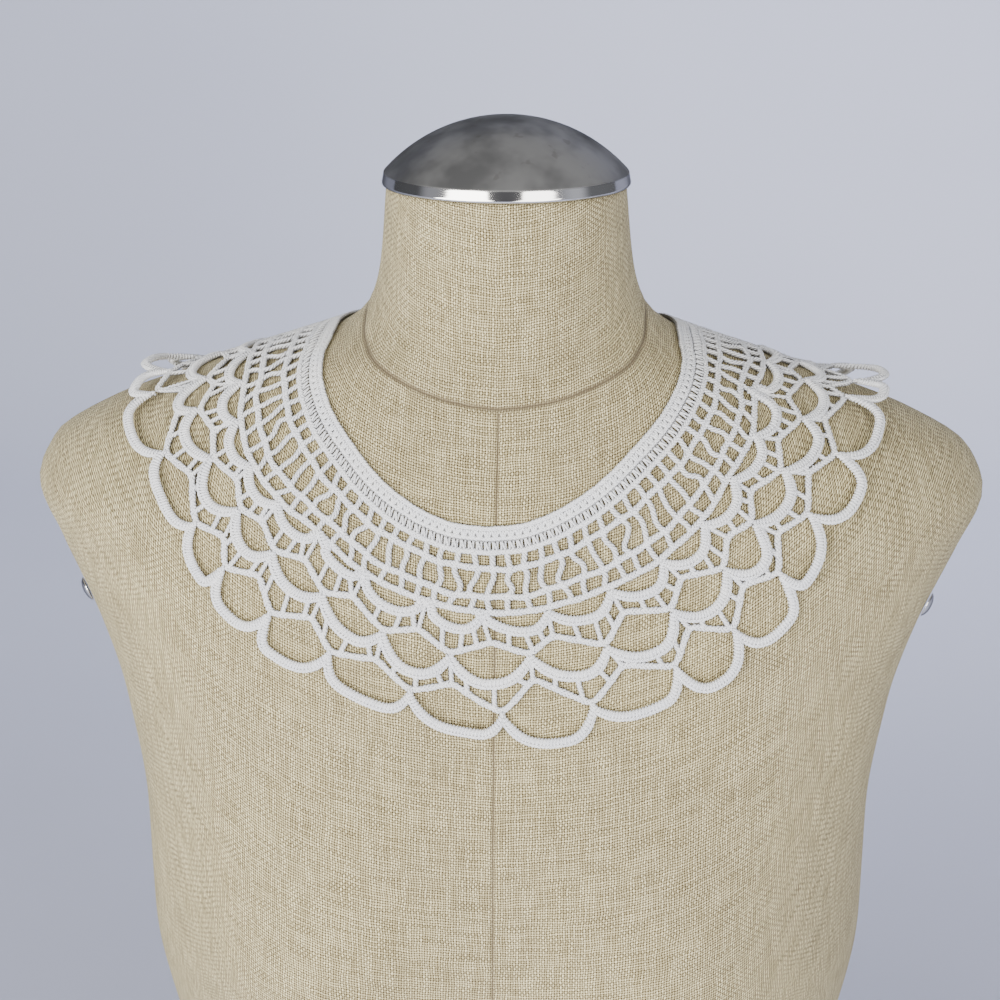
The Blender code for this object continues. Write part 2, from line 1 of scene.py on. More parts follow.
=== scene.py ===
"""Looks of a crocheted lace collar that lies on a linen-covered dress form with a steel neck cap.

Shapes are worked out in millimetres and stored in metres. The collar is worked in its own two
coordinates, along (0 to 28 scallops) and reach (millimetres out from the neckline), and laid on
the form, as in the part's own source.
"""
import math

import bpy
import numpy as np
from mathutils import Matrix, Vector


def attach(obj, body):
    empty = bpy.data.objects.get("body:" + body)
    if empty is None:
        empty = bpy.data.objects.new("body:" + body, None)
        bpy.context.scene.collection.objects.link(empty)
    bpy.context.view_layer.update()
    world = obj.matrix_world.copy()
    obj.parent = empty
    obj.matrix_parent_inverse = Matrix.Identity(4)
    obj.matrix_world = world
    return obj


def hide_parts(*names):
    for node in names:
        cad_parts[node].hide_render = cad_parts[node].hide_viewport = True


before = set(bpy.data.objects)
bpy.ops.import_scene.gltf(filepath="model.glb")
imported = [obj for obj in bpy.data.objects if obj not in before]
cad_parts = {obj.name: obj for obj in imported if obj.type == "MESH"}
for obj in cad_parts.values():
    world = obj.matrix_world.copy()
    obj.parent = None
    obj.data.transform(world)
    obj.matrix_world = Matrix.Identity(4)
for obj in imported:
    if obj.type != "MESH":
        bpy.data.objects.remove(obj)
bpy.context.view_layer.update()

MM = 0.001
TAU = 2 * math.pi

# The form, as in the part's source: height, half width, depth front and back, power of the curve
HEIGHT, WIDTH, FRONT, BACK, POWER = range(5)
FORM_SECTIONS = np.array([
    [0.0, 150.0, 100.0, 108.0, 2.30],
    [45.0, 138.0, 94.0, 102.0, 2.25],
    [95.0, 121.0, 86.0, 92.0, 2.15],
    [145.0, 131.0, 92.0, 92.0, 2.20],
    [195.0, 143.0, 100.0, 97.0, 2.35],
    [250.0, 151.8, 106.0, 102.0, 2.50],
    [300.0, 152.2, 106.0, 107.0, 2.60],
    [350.0, 158.8, 100.0, 109.0, 2.70],
    [385.0, 169.4, 94.0, 106.0, 2.70],
    [415.0, 183.9, 87.0, 100.0, 2.50],
    [435.0, 193.1, 81.0, 94.0, 2.20],
    [450.0, 187.0, 76.0, 88.0, 1.90],
    [465.0, 164.0, 69.5, 80.0, 1.70],
    [480.0, 124.0, 63.0, 70.0, 1.62],
    [490.0, 91.0, 59.0, 63.0, 1.70],
    [498.0, 67.0, 55.5, 57.5, 1.85],
    [508.0, 55.3, 52.0, 53.0, 2.00],
    [525.0, 50.2, 49.8, 49.8, 2.00],
    [556.0, 47.0, 47.0, 47.0, 2.00],
])
NECK_TOP = FORM_SECTIONS[-1, HEIGHT]
LEAN = np.array([[0.0, 3.4], [95.0, 3.4], [300.0, 3.4], [490.0, -0.6], [NECK_TOP, -8.6]])
BUST_TURN, BUST_WIDTH, BUST_RISE, BUST_HEIGHT = 33.0, 20.0, 15.0, 250.0
BUST_ABOVE, BUST_BELOW = 62.0, 45.0
BASE_ROUND = 4.0

# Seam where the neck meets the torso: degrees from the centre front, height
NECK_SEAM = np.array([[0.0, 479.6], [8.0, 480.3], [19.5, 482.2], [32.0, 486.0], [46.0, 491.5],
                      [61.0, 498.3], [77.0, 505.3], [95.0, 509.0], [135.0, 508.0], [180.0, 505.0]])

# The collar's layout, as in the part's source
NECKLINE = np.array([
    [0.0, 438.3], [8.0, 439.3], [16.0, 442.8], [25.0, 449.5], [33.0, 457.3], [42.0, 467.5],
    [50.0, 476.0], [58.0, 484.5], [66.0, 491.0], [76.0, 495.6], [90.0, 498.0], [110.0, 496.5],
    [135.0, 489.0], [160.0, 481.5], [180.0, 479.0],
])
NECKLINE_SKEW = 2.5
STRETCH = np.array([[0.0, 1.0], [15.0, 1.02], [30.0, 1.09], [45.0, 1.15], [60.0, 1.15],
                    [80.0, 1.10], [100.0, 1.04], [180.0, 1.0]])
SCALLOPS = 28.0
REACH_MAX = 96
GRID_PER_SCALLOP = 16
OPENING, OPENING_FLARE = 0.05, 0.0015
SHOULDER_LIFT, SHOULDER_TURN, SHOULDER_SPAN, SHOULDER_FROM = 11.0, 96.0, 14.0, 58.0

# The scallops that show from the front, from the left shoulder to the right one, each listed.
# In each row: where it is tied and how far out, how deep the arc on the tie's right hangs below
# its ties and at what share of its width it is deepest, and where the peak of the zigzag chain
# near this tie lies and how far out.
TIE, OUT, DEEP, DEEPEST, PEAK_AT, PEAK = range(6)
FIRST_ROW = np.array([
    [7.65, 35.3, 5.9, 0.34, 7.40, 46.0],
    [8.45, 37.0, 4.3, 0.38, 8.30, 46.2],
    [9.28, 37.5, 3.8, 0.52, 9.30, 43.4],
    [10.07, 35.9, 3.7, 0.53, 10.07, 43.8],
    [10.92, 33.5, 2.4, 0.62, 10.94, 42.0],
    [11.87, 34.0, 5.5, 0.52, 11.84, 41.8],
    [12.95, 33.0, 5.3, 0.64, 12.92, 42.5],
    [13.86, 34.1, 5.2, 0.72, 14.00, 43.7],
    [14.90, 35.8, 6.4, 0.64, 14.92, 44.7],
    [15.92, 37.5, 6.7, 0.68, 15.99, 46.2],
    [16.83, 39.0, 6.4, 0.60, 16.95, 46.8],
    [17.66, 37.8, 5.1, 0.64, 17.83, 46.3],
    [18.48, 35.4, 4.3, 0.68, 18.55, 42.1],
    [19.35, 34.7, 6.6, 0.72, 19.54, 41.9],
    [20.17, 31.5, 5.0, 0.50, 20.40, 42.5],
])
SECOND_ROW = np.array([
    [7.82, 52.5, 6.3, 0.34, 7.70, 60.7],
    [8.76, 49.5, 8.0, 0.51, 8.79, 58.4],
    [9.68, 48.6, 7.4, 0.56, 9.80, 58.7],
    [10.48, 48.5, 5.9, 0.53, 10.51, 58.3],
    [11.42, 47.9, 7.2, 0.60, 11.43, 57.3],
    [12.43, 48.6, 9.9, 0.53, 12.45, 58.7],
    [13.43, 49.3, 10.0, 0.52, 13.49, 59.8],
    [14.56, 50.0, 9.2, 0.62, 14.57, 58.7],
    [15.62, 55.6, 9.8, 0.66, 15.75, 64.0],
    [16.63, 55.5, 8.2, 0.56, 16.73, 63.3],
    [17.53, 54.6, 10.8, 0.66, 17.60, 63.1],
    [18.25, 50.4, 6.4, 0.64, 18.39, 58.8],
    [19.13, 48.4, 7.4, 0.74, 19.34, 56.7],
    [20.10, 49.6, 7.0, 0.60, 20.28, 57.4],
    [21.00, 49.4, 7.0, 0.50, 21.05, 58.0],
])
# The third row has no chain below it: how far out its loop reaches, where it is deepest, and how
# full it is (2 is a parabola, more is squarer)
LOW, LOWEST, FULL = 2, 3, 4
THIRD_ROW = np.array([
    [7.16, 71.5, 79.6, 0.40, 2.6],
    [8.25, 67.2, 72.1, 0.50, 3.6],
    [9.38, 65.7, 76.1, 0.76, 2.4],
    [10.06, 67.2, 78.1, 0.45, 2.8],
    [10.90, 67.0, 77.6, 0.28, 3.0],
    [11.83, 65.2, 74.4, 0.48, 4.4],
    [12.97, 67.0, 78.1, 0.66, 3.2],
    [14.15, 72.1, 85.3, 0.62, 2.3],
    [15.27, 75.3, 83.5, 0.72, 2.4],
    [16.37, 74.3, 86.5, 0.50, 2.4],
    [17.21, 74.7, 85.1, 0.66, 2.8],
    [18.07, 70.2, 78.3, 0.32, 2.6],
    [18.87, 64.4, 76.3, 0.62, 2.8],
    [19.84, 64.9, 77.5, 0.62, 3.0],
    [20.90, 66.0, 79.4, 0.60, 2.8],
])
HIDDEN = 8

# Rows of the lace, in millimetres of reach
BAND_OUT = 10.8
POSTS = 90
LINE_A, LINE_B, LINE_C = 16.3, 27.4, 33.7
PLAIN_OUT_1 = 35.5        # where the ties lie under an even net


def smooth_table(table, column, at):
    """Smooth curve through a table's column, flat at its highs and lows (a monotone cubic)."""
    x, y = table[:, 0], table[:, column]
    at = np.asarray(at, float)
    step = np.diff(x)
    rise = np.diff(y) / step
    slope = np.zeros(len(x))
    slope[0], slope[-1] = rise[0], rise[-1]
    same = rise[:-1] * rise[1:] > 0
    total = np.where(same, rise[:-1] + rise[1:], 1.0)
    slope[1:-1] = np.where(same, 2 * rise[:-1] * rise[1:] / total, 0.0)
    i = np.clip(np.searchsorted(x, at) - 1, 0, len(x) - 2)
    s = (at - x[i]) / step[i]
    return ((1 + 2 * s) * (1 - s) ** 2 * y[i] + s * (1 - s) ** 2 * step[i] * slope[i]
            + s * s * (3 - 2 * s) * y[i + 1] + s * s * (s - 1) * step[i] * slope[i + 1])


def unit(v):
    """Vectors divided by their lengths."""
    return v / np.maximum(np.linalg.norm(v, axis=-1, keepdims=True), 1e-9)


def form_point(turn, height):
    """Point of the form's surface: a super-ellipse section at each height, with two bust mounds.

    radius = (|sin turn / width|^p + |cos turn / depth|^p)^(-1/p), plus a bell for each mound.
    """
    turn, height = np.broadcast_arrays(np.asarray(turn, float), np.asarray(height, float))
    width, front, back, power = (smooth_table(FORM_SECTIONS, c, height)
                                 for c in (WIDTH, FRONT, BACK, POWER))
    frontness = 0.5 + 0.5 * np.tanh(3.0 * np.cos(turn))
    depth = back + (front - back) * frontness
    radius = ((np.abs(np.sin(turn)) / width) ** power
              + (np.abs(np.cos(turn)) / depth) ** power) ** (-1 / power)
    reach = np.where(height > BUST_HEIGHT, BUST_ABOVE, BUST_BELOW)
    for side in (-1, 1):
        off = turn - side * math.radians(BUST_TURN)
        off = (off + math.pi) % TAU - math.pi
        radius = radius + BUST_RISE * np.exp(-(off / math.radians(BUST_WIDTH)) ** 2
                                             - ((height - BUST_HEIGHT) / reach) ** 2)
    middle = smooth_table(LEAN, 1, height)
    return np.stack([radius * np.sin(turn), middle - radius * np.cos(turn), height], -1)


def lay_out_collar():
    """Grid of points and normals under the collar: a row for each millimetre of reach.

    From each point of the neckline a line runs down the form, and reach is measured along it.
    Each row is then divided evenly from one end of the collar to the other.
    """
    turns = np.radians(np.linspace(-180, 180, 1441))
    askew = np.degrees(turns) + NECKLINE_SKEW * np.clip(np.cos(turns), 0, None) ** 2
    top = smooth_table(NECKLINE, 1, np.abs(askew))
    down = np.linspace(0, 1.45 * REACH_MAX, 281)
    lines = form_point(turns[None], top[None] - down[:, None])
    run = np.zeros(lines.shape[:2])
    run[1:] = np.cumsum(np.linalg.norm(np.diff(lines, axis=0), axis=-1), axis=0)
    stretch = smooth_table(STRETCH, 1, np.abs(np.degrees(turns)))
    reaches = np.arange(REACH_MAX + 1.0)
    even = np.linspace(0, 1, int(SCALLOPS) * GRID_PER_SCALLOP + 1)
    level = np.empty((len(reaches), len(turns), 3))
    for j in range(len(turns)):
        for axis in range(3):
            level[:, j, axis] = np.interp(reaches * stretch[j], run[:, j], lines[:, j, axis])
    points = np.empty((len(reaches), len(even), 3))
    lengths = []
    for k, row in enumerate(level):
        length = np.append(0, np.cumsum(np.linalg.norm(np.diff(row, axis=0), axis=1)))
        lengths.append(length[-1])
        for axis in range(3):
            points[k, :, axis] = np.interp(even * length[-1], length, row[:, axis])
    normals = unit(np.cross(np.gradient(points, axis=0), np.gradient(points, axis=1)))
    return points, normals, np.array(lengths)


POINTS, NORMALS, ROW_LENGTHS = lay_out_collar()


def between(grid, along, reach):
    """Value of a grid between its rows and columns."""
    a = np.clip(along * GRID_PER_SCALLOP, 0, grid.shape[1] - 1.001)
    b = np.clip(reach, 0, grid.shape[0] - 1.001)
    i, j = a.astype(int), b.astype(int)
    s, t = (a - i)[..., None], (b - j)[..., None]
    inner = grid[j, i] * (1 - s) + grid[j, i + 1] * s
    outer = grid[j + 1, i] * (1 - s) + grid[j + 1, i + 1] * s
    return inner * (1 - t) + outer * t


def pitch(reach):
    """Millimetres along the collar that one scallop takes at a reach."""
    return np.interp(reach, np.arange(len(ROW_LENGTHS)), ROW_LENGTHS) / SCALLOPS


def lay(along, reach, height):
    """Points (mm) and normals for places in the collar, a height off the form's surface."""
    along, reach = np.broadcast_arrays(np.asarray(along, float), np.asarray(reach, float))
    middle = SCALLOPS / 2
    half_gap = OPENING + OPENING_FLARE * reach
    along = middle + (along - middle) * (1 - half_gap / middle)
    base, normal = between(POINTS, along, reach), between(NORMALS, along, reach)
    turn = np.degrees(np.arctan2(np.abs(base[..., 0]), -base[..., 1]))
    outwards = np.clip((reach - SHOULDER_FROM) / (REACH_MAX - SHOULDER_FROM), 0, 1)
    lift = SHOULDER_LIFT * outwards * np.exp(-((turn - SHOULDER_TURN) / SHOULDER_SPAN) ** 2)
    return base + normal * (height + lift)[..., None], unit(normal)


def by_hand(along, reach):
    """Places in the net a little off, as hand work is: slow waves, and the net's own stretch.

    The net is drawn out or in with the first ties under it, from nothing at the neck band.
    """
    along, reach = np.broadcast_arrays(np.asarray(along, float), np.asarray(reach, float))
    fade = np.clip((reach - 9) / 8, 0, 1) * np.clip((LINE_C + 2 - reach) / 4, 0, 1)
    sway = (0.030 * np.sin(2.1 * along + 0.21 * reach + 0.4)
            + 0.028 * np.sin(5.3 * along - 0.33 * reach + 1.7)
            + 0.020 * np.sin(11.7 * along + 0.50 * reach + 2.2))
    rise = (0.35 * np.sin(1.7 * along + 0.13 * reach)
            + 0.30 * np.sin(4.9 * along + 0.40 * reach + 0.8)
            + 0.25 * np.sin(9.7 * along - 0.30 * reach))
    ends = [[0.0, PLAIN_OUT_1], [FIRST_ROW[0, TIE] - 1.0, PLAIN_OUT_1],
            [FIRST_ROW[-1, TIE] + 1.0, PLAIN_OUT_1], [SCALLOPS, PLAIN_OUT_1]]
    ties = np.concatenate([ends[:2], FIRST_ROW[:, [TIE, OUT]], ends[2:]])
    drawn = smooth_table(ties, 1, along) - PLAIN_OUT_1
    share = np.clip((reach - BAND_OUT) / (LINE_C - BAND_OUT), 0, 1) * (reach < LINE_C + 1.5)
    return along + fade * sway, reach + fade * rise + drawn * share


def rows_of_ties():
    """Where the three rows of scallops are tied, seen ones as listed and hidden ones evenly."""
    left = np.linspace(0, FIRST_ROW[0, TIE], HIDDEN + 1)[:-1]
    right = np.linspace(FIRST_ROW[-1, TIE], SCALLOPS, HIDDEN + 1)[1:]
    first = np.concatenate([left, FIRST_ROW[:, TIE], right])
    halfway = (first[:-1] + first[1:]) / 2
    second = np.concatenate([halfway[:HIDDEN], SECOND_ROW[:, TIE], halfway[HIDDEN + len(SECOND_ROW):]])
    halfway = (second[:-1] + second[1:]) / 2
    third = np.concatenate([halfway[:HIDDEN - 1], THIRD_ROW[:, TIE],
                            halfway[HIDDEN + len(THIRD_ROW) - 1:]])
    return first, second, third


def whole_row(table, ties, before, smoothing=0.6):
    """A row's table with the hidden scallops filled in: seen ones borrowed in turn, drawn to the mean."""
    mean = table.mean(axis=0)
    borrowed = table[(5 * np.arange(len(ties)) + 2) % len(table)]
    rows = borrowed * (1 - smoothing) + mean * smoothing
    rows[:, TIE] = ties
    rows[before:before + len(table)] = table
    return rows


def peaks_of(rows, before, seen):
    """Where the zigzag's peaks lie: at the ties of hidden scallops, by the table for seen ones."""
    at = rows[:, TIE].copy()
    at[before:before + seen] = rows[before:before + seen, PEAK_AT]
    return at


def bow(share, deepest, full):
    """Depth of a hanging bow over its width: 1 - |2u - 1|^full, u = 1/2 at the deepest place."""
    u = np.where(share < deepest, share / (2 * deepest), 0.5 + (share - deepest) / (2 - 2 * deepest))
    return 1 - np.abs(2 * u - 1) ** full


# Meshes

def put_mesh(name, points, groups, uvs, finish, replaced, smooth=True):
    """One piece from arrays: points in mm, groups of faces (m, corners), their UVs in metres."""
    mesh = bpy.data.meshes.new(name)
    corners = np.concatenate([g.ravel() for g in groups]).astype(np.int32)
    sizes = np.concatenate([np.full(len(g), g.shape[1]) for g in groups])
    mesh.vertices.add(len(points))
    mesh.vertices.foreach_set("co", (np.asarray(points) * MM).astype(np.float32).ravel())
    mesh.loops.add(len(corners))
    mesh.loops.foreach_set("vertex_index", corners)
    mesh.polygons.add(len(sizes))
    mesh.polygons.foreach_set("loop_start", (np.cumsum(sizes) - sizes).astype(np.int32))
    layer = mesh.uv_layers.new(name="thread")
    uv = np.concatenate([u.reshape(-1, 2) for u in uvs]).astype(np.float32)
    layer.data.foreach_set("uv", uv.ravel())
    mesh.update(calc_edges=True)
    mesh.polygons.foreach_set("use_smooth", np.full(len(sizes), smooth))
    mesh.materials.append(finish)
    thing = bpy.data.objects.new(name, mesh)
    bpy.context.scene.collection.objects.link(thing)
    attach(thing, "root")
    if replaced:
        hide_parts(*replaced)
    return thing


class Skein:
    """Threads gathered for one piece."""

    def __init__(self):
        self.points, self.groups, self.uvs, self.count = [], [], [], 0

    def add(self, lines, ups, radius, sides=5, flat=1.0):
        """Threads along lines (m, n, 3): ring = line + radius (cos f A + flat sin f B).

        A is the up direction made square to the line and B = T x A. The ends are closed.
        """
        m, n = lines.shape[:2]
        T = unit(np.gradient(lines, axis=1))
        A = unit(ups - (ups * T).sum(-1, keepdims=True) * T)
        B = np.cross(T, A)
        f = np.arange(sides) * TAU / sides
        radius = np.broadcast_to(radius, (m, n))[..., None, None]
        rings = lines[:, :, None] + radius * (np.cos(f)[:, None] * A[:, :, None]
                                              + flat * np.sin(f)[:, None] * B[:, :, None])
        run = np.zeros((m, n))
        run[:, 1:] = np.cumsum(np.linalg.norm(np.diff(lines, axis=1), axis=-1), axis=1)
        index = self.count + np.arange(m * n * sides).reshape(m, n, sides)
        here, ahead = index[:, :-1], index[:, 1:]
        quads = np.stack([here, np.roll(here, -1, 2), np.roll(ahead, -1, 2), ahead], -1)
        share = np.arange(sides + 1) / sides * 1000 * MM
        u0 = np.broadcast_to(run[:, :-1, None] * MM, here.shape)
        u1 = np.broadcast_to(run[:, 1:, None] * MM, here.shape)
        v0 = np.broadcast_to(share[:-1], here.shape)
        v1 = np.broadcast_to(share[1:], here.shape)
        uv = np.stack([np.stack([u0, v0], -1), np.stack([u0, v1], -1),
                       np.stack([u1, v1], -1), np.stack([u1, v0], -1)], -2)
        self.points.append(rings.reshape(-1, 3))
        self.groups += [quads.reshape(-1, 4), index[:, 0, ::-1], index[:, -1]]
        self.uvs += [uv, np.zeros((m, sides, 2)), np.zeros((m, sides, 2))]
        self.count += m * n * sides

    def piece(self, name, finish, replaced):
        return put_mesh(name, np.concatenate(self.points), self.groups, self.uvs, finish,
                        replaced)


def along_path(along, reach, height, spacing=None, count=None):
    """Paths (m, n, 3) laid on the form from places (m, k), with evenly spaced points."""
    along, reach = by_hand(along, reach)
    along, reach = np.atleast_2d(along), np.atleast_2d(reach)
    height = np.broadcast_to(height, along.shape)
    points, ups = lay(along, reach, height)
    run = np.zeros(along.shape)
    run[:, 1:] = np.cumsum(np.linalg.norm(np.diff(points, axis=1), axis=-1), axis=1)
    if count is None:
        count = int(round(run[:, -1].mean() / spacing)) + 1
    share = np.linspace(0, 1, count)
    both = np.concatenate([points, ups], -1)
    out = np.stack([np.stack([np.interp(share * run[m, -1], run[m], both[m, :, c])
                              for c in range(6)], -1) for m in range(len(run))])
    return out[..., :3], unit(out[..., 3:]), share * run[:, -1:]


def sideways(line, up):
    """Direction square to a line and lying in the cloth: T x up."""
    return np.cross(unit(np.gradient(line, axis=1)), up)


def plait(skein, line, up, run, width, thread, period, phase=0.0, sides=5):
    """Chain of stitches as three threads: x = w sin t, y = h sin 2t, a third of a turn apart."""
    side = sideways(line, up)
    uneven = 1 + 0.14 * np.sin(0.83 * run + 3 * phase) + 0.10 * np.sin(2.17 * run + phase)
    for k in range(3):
        t = TAU * (run / period + k / 3) + phase
        x = (width / 2 - thread) * uneven * np.sin(t)
        y = 0.75 * thread * np.sin(2 * t)
        skein.add(line + side * x[..., None] + up * y[..., None], up, thread, sides)


def twist(skein, line, up, run, width, thread, period, strands=3, phase=0.0, sides=5):
    """Post as threads twisted round each other: x = w cos t, y = h sin t."""
    side = sideways(line, up)
    for k in range(strands):
        t = TAU * (run / period + k / strands) + phase
        x = (width / 2 - thread) * np.cos(t)
        y = (width / 2 - thread) * 0.8 * np.sin(t)
        skein.add(line + side * x[..., None] + up * y[..., None], up, thread, sides)


def covered(skein, line, up, run, half_width, half_height, thread, turns, edge, full):
    """Cord worked over with close stitches: a core, one thread wound round it, a plaited edge.

    The winding is line + side a cos t + up b sin t; full (0 to 1) thins it near its ends.
    """
    side = sideways(line, up)
    share = run / run[:, -1:]
    order = np.arange(len(run))[:, None]
    t = TAU * turns * share + 0.9 * np.sin(9.1 * share + 2.4 * order) + 0.6 * np.sin(23.0 * share + order)
    a, b = (half_width * full), (half_height * full)
    out = side * (np.cos(t) / a)[..., None] + up * (np.sin(t) / b)[..., None]
    skein.add(line + side * (a * np.cos(t))[..., None] + up * (b * np.sin(t))[..., None],
              unit(out), thread, 4)
    coarse = slice(None, None, 6)
    skein.add(line[:, coarse], up[:, coarse], (b + 0.15 * thread)[:, coarse], 8,
              half_width / half_height)
    every = slice(None, None, 3)
    edge_line = (line + side * (a + 0.1)[..., None] + up * (0.45 * b)[..., None])[:, every]
    edge_up = unit(up + 0.6 * side)[:, every]
    edge_run = np.zeros(edge_line.shape[:2])
    edge_run[:, 1:] = np.cumsum(np.linalg.norm(np.diff(edge_line, axis=1), axis=-1), axis=1)
    plait(skein, edge_line, edge_up, edge_run, edge, thread * 0.85, 4.0, sides=4)


# Finishes

def add(tree, kind, inputs=(), **settings):
    """A node with its settings and its inputs, each a value or another node's output."""
    made = tree.nodes.new(kind)
    for key, value in settings.items():
        setattr(made, key, value)
    for key, value in dict(inputs).items():
        if isinstance(value, bpy.types.NodeSocket):
            tree.links.new(value, made.inputs[key])
        else:
            made.inputs[key].default_value = value
    return made


def calc(tree, operation, a, b=0.0, c=0.0, clamp=False):
    """Result of one Math node."""
    return add(tree, "ShaderNodeMath", {0: a, 1: b, 2: c}, operation=operation,
               use_clamp=clamp).outputs[0]


def mix(tree, factor, a, b, blend="MIX"):
    """Two colours mixed."""
    made = add(tree, "ShaderNodeMix", data_type="RGBA", blend_type=blend)
    for socket, value in ((made.inputs[0], factor), (made.inputs[6], a), (made.inputs[7], b)):
        if isinstance(value, bpy.types.NodeSocket):
            tree.links.new(value, socket)
        else:
            socket.default_value = value
    return made.outputs[2]


def noise(tree, vector, scale, detail=2.0, rough=0.5):
    return add(tree, "ShaderNodeTexNoise", {"Vector": vector, "Scale": scale, "Detail": detail,
                                            "Roughness": rough}).outputs[0]


def ramp(tree, value, low, high):
    """0 below low, 1 above high, smooth between."""
    return add(tree, "ShaderNodeMapRange", {"Value": value, "From Min": low, "From Max": high},
               interpolation_type="SMOOTHSTEP").outputs[0]


def new_finish(name):
    made = bpy.data.materials.new(name)
    made.use_nodes = True
    return made, made.node_tree, made.node_tree.nodes["Principled BSDF"]


LINEN_PITCH = 0.00102


def linen_finish():
    """Plain-woven slubbed linen: warp = |sin x|/2 + sin x sin y/2, weft = |sin y|/2 - sin x sin y/2.

    The higher of the two lies on top; warp floats are painted lighter than weft floats, painted light and painted
    shade for how the light falls on them, and the hollows between them get painted shade. Threads differ in tone
    along their own length. A dark line of painted shade runs along the sewn seams.
    """
    made, tree, shader = new_finish("beige_linen")
    uv = add(tree, "ShaderNodeUVMap", uv_map="thread").outputs[0]
    place = add(tree, "ShaderNodeTexCoord").outputs["Object"]
    wander = add(tree, "ShaderNodeTexNoise", {"Vector": uv, "Scale": 130.0, "Detail": 2.0}).outputs[1]
    shift = add(tree, "ShaderNodeVectorMath", {0: wander, 1: (0.5, 0.5, 0.5)}, operation="SUBTRACT")
    small = add(tree, "ShaderNodeVectorMath", {0: shift.outputs[0], "Scale": 0.0016}, operation="SCALE")
    uv2 = add(tree, "ShaderNodeVectorMath", {0: uv, 1: small.outputs[0]}, operation="ADD").outputs[0]
    split = add(tree, "ShaderNodeSeparateXYZ", {0: uv2})
    x = calc(tree, "MULTIPLY", split.outputs[0], math.pi / LINEN_PITCH)
    y = calc(tree, "MULTIPLY", split.outputs[1], math.pi / LINEN_PITCH)
    sx, sy = calc(tree, "SINE", x), calc(tree, "SINE", y)
    cross = calc(tree, "MULTIPLY", calc(tree, "MULTIPLY", sx, sy), 0.5)
    warp = calc(tree, "MULTIPLY_ADD", calc(tree, "ABSOLUTE", sx), 0.5, cross)
    weft = calc(tree, "MULTIPLY_ADD", calc(tree, "ABSOLUTE", sy), 0.5,
                calc(tree, "MULTIPLY", cross, -1.0))
    top = calc(tree, "MAXIMUM", warp, weft)
    down = add(tree, "ShaderNodeMapping", {"Vector": uv2, "Scale": (1000.0, 60.0, 1.0)}).outputs[0]
    round_it = add(tree, "ShaderNodeMapping", {"Vector": uv2, "Scale": (60.0, 1000.0, 1.0)}).outputs[0]
    tone_warp = noise(tree, down, 1.0, 1.0, 0.6)
    tone_weft = noise(tree, round_it, 1.0, 1.0, 0.6)
    on_top = ramp(tree, calc(tree, "SUBTRACT", warp, weft), -0.16, 0.16)
    tone = add(tree, "ShaderNodeMix", {0: on_top, 2: tone_weft, 3: tone_warp}, data_type="FLOAT").outputs[0]
    cloud = noise(tree, place, 16.0, 3.0, 0.55)
    fleck = ramp(tree, noise(tree, uv2, 620.0, 2.0, 0.6), 0.70, 0.80)
    # painted light and shade: warp floats painted lighter and weft floats darker for how light falls on them, each
    # with random tone
    warp_painted_lit = mix(tree, ramp(tree, tone, 0.36, 0.64), (0.58, 0.490, 0.26, 1), (1.0, 0.890, 0.52, 1))
    weft_painted_shaded = mix(tree, ramp(tree, tone, 0.36, 0.64), (0.39, 0.322, 0.17, 1), (0.78, 0.672, 0.38, 1))
    light = mix(tree, on_top, weft_painted_shaded, warp_painted_lit)
    clouded = mix(tree, 1.0, light, (0.94, 0.94, 0.96, 1), "MULTIPLY")
    light = mix(tree, ramp(tree, cloud, 0.35, 0.65), light, clouded)
    light = mix(tree, calc(tree, "MULTIPLY", fleck, 0.55), light, (0.20, 0.13, 0.07, 1))
    # painted shade in the hollows between the threads, dark where neither thread is on top
    unshaded_top = ramp(tree, top, 0.26, 0.70)
    colour = mix(tree, unshaded_top, mix(tree, 1.0, light, (0.10, 0.075, 0.045, 1), "MULTIPLY"), light)
    # painted shade: a dark line along the sewn seams' hollows, read from the 'seam' attribute
    seam = add(tree, "ShaderNodeAttribute", attribute_name="seam").outputs["Fac"]
    colour = mix(tree, calc(tree, "MULTIPLY", seam, 0.9), colour, (0.14, 0.105, 0.065, 1))
    tree.links.new(colour, shader.inputs["Base Color"])
    height = calc(tree, "MULTIPLY_ADD", tone, 0.25, top)
    bump = add(tree, "ShaderNodeBump", {"Height": height, "Distance": 0.00032, "Strength": 1.0})
    tree.links.new(bump.outputs[0], shader.inputs["Normal"])
    shader.inputs["Roughness"].default_value = 0.92
    shader.inputs["Sheen Weight"].default_value = 0.10
    shader.inputs["Sheen Roughness"].default_value = 0.5
    shader.inputs["Specular IOR Level"].default_value = 0.25
    return made


